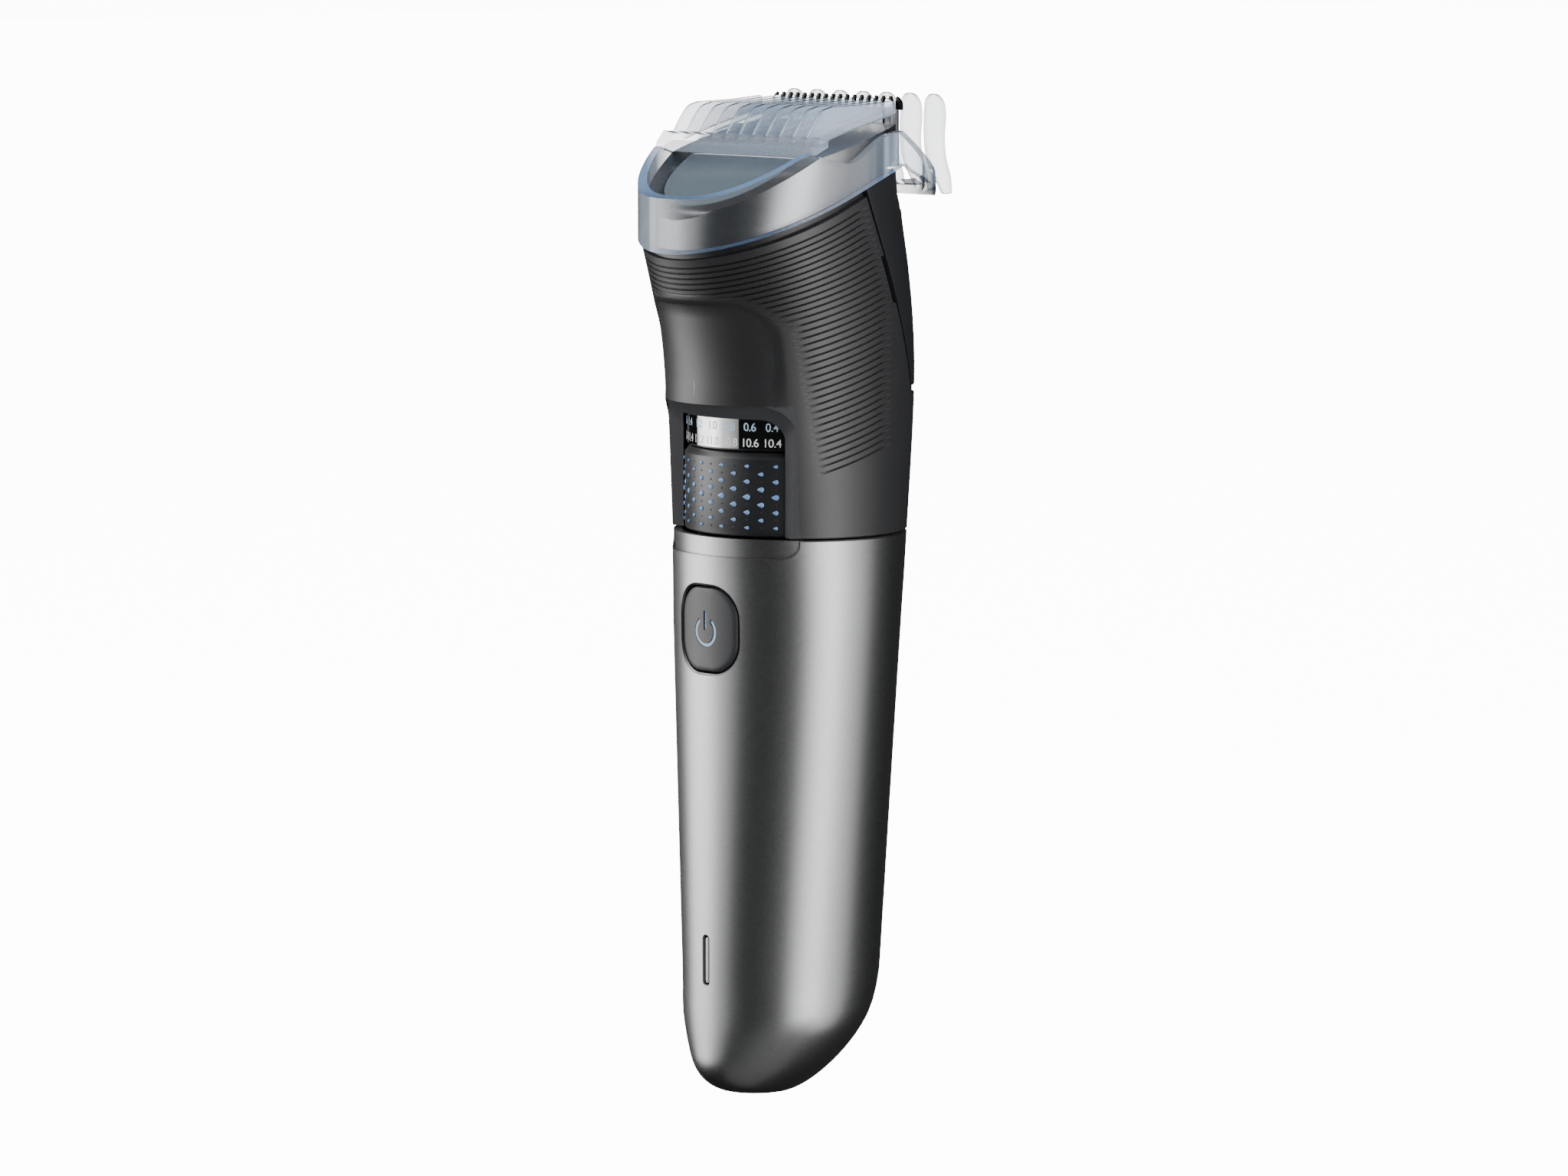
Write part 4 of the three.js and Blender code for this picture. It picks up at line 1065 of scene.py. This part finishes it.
# Strength of the room, of the backdrop, and of the backdrop behind clear plastic.
ROOM, BACKGROUND, BEHIND_CLEAR = 0.008, 12.0, 4.6
FLOOR_HALF, FLOOR_GLOW = 6000, 13.0
LIGHT_RADIUS = 700


def behind_clear(tree, bright):
    """Brightness of the backdrop: full when seen straight, softer through the clear comb."""
    path = tree.nodes.new("ShaderNodeLightPath")
    through = tree.nodes.new("ShaderNodeMapRange")
    through.inputs["To Min"].default_value = bright
    through.inputs["To Max"].default_value = BEHIND_CLEAR
    tree.links.new(path.outputs["Transparent Depth"], through.inputs["Value"])
    return through.outputs["Result"]


def stage_white(name, colour, glow):
    """Pale studio surface with a very faint tone, lit from within so that it stays near white."""
    m = Nodes(name)
    m.set(Roughness=0.9)
    dark, light = shades(colour, 0.004)
    m.link(m.colour(m.noise(3.0), dark, light), m.shader.inputs["Base Color"])
    m.shader.inputs["Emission Color"].default_value = (1, 1, 1, 1)
    m.link(behind_clear(m.tree, glow), m.shader.inputs["Emission Strength"])
    return m.material


def level_sheet(name, centre, half):
    x, y, z = centre
    corners = [(x - half, y - half, z), (x + half, y - half, z), (x + half, y + half, z), (x - half, y + half, z)]
    return make(name, corners, [(0, 1, 2, 3)])


def floor():
    sheet = level_sheet("floor", (0, 0, -0.05), FLOOR_HALF)
    sheet.data.materials.append(stage_white("floor_white", (0.8, 0.8, 0.8), FLOOR_GLOW))
    sheet.visible_glossy = False
    sheet.visible_diffuse = False
    sheet.visible_shadow = False


def world():
    """White where the camera or clear plastic looks straight at it, a soft grey room elsewhere."""
    studio = bpy.data.worlds.new("studio")
    studio.use_nodes = True
    tree = studio.node_tree
    room = tree.nodes["Background"]
    room.inputs["Color"].default_value = (1, 1, 1, 1)
    room.inputs["Strength"].default_value = ROOM
    white = tree.nodes.new("ShaderNodeBackground")
    white.inputs["Color"].default_value = (1, 1, 1, 1)
    path = tree.nodes.new("ShaderNodeLightPath")
    seen = tree.nodes.new("ShaderNodeMath")
    seen.operation = "MAXIMUM"
    mix = tree.nodes.new("ShaderNodeMixShader")
    for source, target in ((behind_clear(tree, BACKGROUND), white.inputs["Strength"]),
                           (path.outputs["Is Camera Ray"], seen.inputs[0]),
                           (path.outputs["Is Transmission Ray"], seen.inputs[1]),
                           (seen.outputs[0], mix.inputs[0]), (room.outputs[0], mix.inputs[1]),
                           (white.outputs[0], mix.inputs[2]),
                           (mix.outputs[0], tree.nodes["World Output"].inputs["Surface"])):
        tree.links.new(source, target)
    bpy.context.scene.world = studio


def glow_material(name):
    """Emission that follows the panel's own brightness attribute."""
    material = bpy.data.materials.new(name)
    material.use_nodes = True
    tree = material.node_tree
    tree.nodes.clear()
    level = tree.nodes.new("ShaderNodeAttribute")
    level.attribute_name = "glow"
    emission = tree.nodes.new("ShaderNodeEmission")
    output = tree.nodes.new("ShaderNodeOutputMaterial")
    tree.links.new(level.outputs["Fac"], emission.inputs["Strength"])
    tree.links.new(emission.outputs[0], output.inputs["Surface"])
    return material


def light_panel(panel, glow):
    """Makes a mesh a light that nothing sees directly; glow is its brightness at each point."""
    attribute = panel.data.attributes.new("glow", "FLOAT", "POINT")
    attribute.data.foreach_set("value", np.asarray(glow, np.float32))
    panel.data.materials.append(glow_material(panel.name))
    panel.visible_camera = False
    panel.visible_transmission = False
    panel.visible_shadow = False


def wall_light(name, levels, z_low, z_high):
    """Upright curved softbox round the object; levels are (degrees right of the camera, brightness)."""
    camera_azimuth = math.degrees(math.atan2(CAMERA_SIDE[1], CAMERA_SIDE[0]))
    fine = np.linspace(levels[0][0], levels[-1][0], 41)
    glow = np.interp(fine, [a for a, _ in levels], [g for _, g in levels])
    points = []
    for turn in np.radians(camera_azimuth + fine):
        points += [polar(LIGHT_RADIUS, turn, z) for z in (z_low, z_high)]
    faces = [(a, a + 1, a + 3, a + 2) for a in range(0, len(points) - 2, 2)]
    light_panel(make(name, points, faces), np.repeat(glow, 2))


def roof_light(name, centre, size, glow):
    light_panel(level_sheet(name, centre, size / 2), np.full(4, glow))


def lights():
    wall_light("left_light", [(-125, 2.0), (-115, 5.4), (-93, 6.6), (-80, 1.9), (-58, 0.5)], -150, 900)
    wall_light("right_light", [(10, 0.0), (25, 4.2), (38, 7.4), (55, 2.4), (86, 0.4)], -500, 900)
    roof_light("roof_light", (0, -150, 900), 700, 1.0)
    roof_light("bounce_light", (300, -300, -250), 700, 0.2)


def camera():
    data = bpy.data.cameras.new("camera")
    data.sensor_width = SENSOR
    data.lens = LENS
    data.shift_x = SHIFT_X
    data.clip_start, data.clip_end = 0.05, 20
    obj = add_object("camera", data)
    side_x, side_y = CAMERA_SIDE
    obj.location = place([(side_x * CAMERA_DISTANCE, side_y * CAMERA_DISTANCE, CAMERA_HEIGHT)])[0]
    pitch = math.radians(CAMERA_PITCH)
    ahead = Vector((-side_x * math.cos(pitch), -side_y * math.cos(pitch), -math.sin(pitch)))
    obj.rotation_mode = "QUATERNION"
    obj.rotation_quaternion = ahead.to_track_quat("-Z", "Y")
    bpy.context.scene.camera = obj


# ------------ build
handle_shell()
light_guide()
power_button()
upper_housing()
comb_carriage()
zoom_wheel()
scale_ring()
head_housing()
guard_blade()
cutter_blade()
blade_carrier()
guide_comb()
dress_cad_nodes()
floor()
world()
lights()
camera()
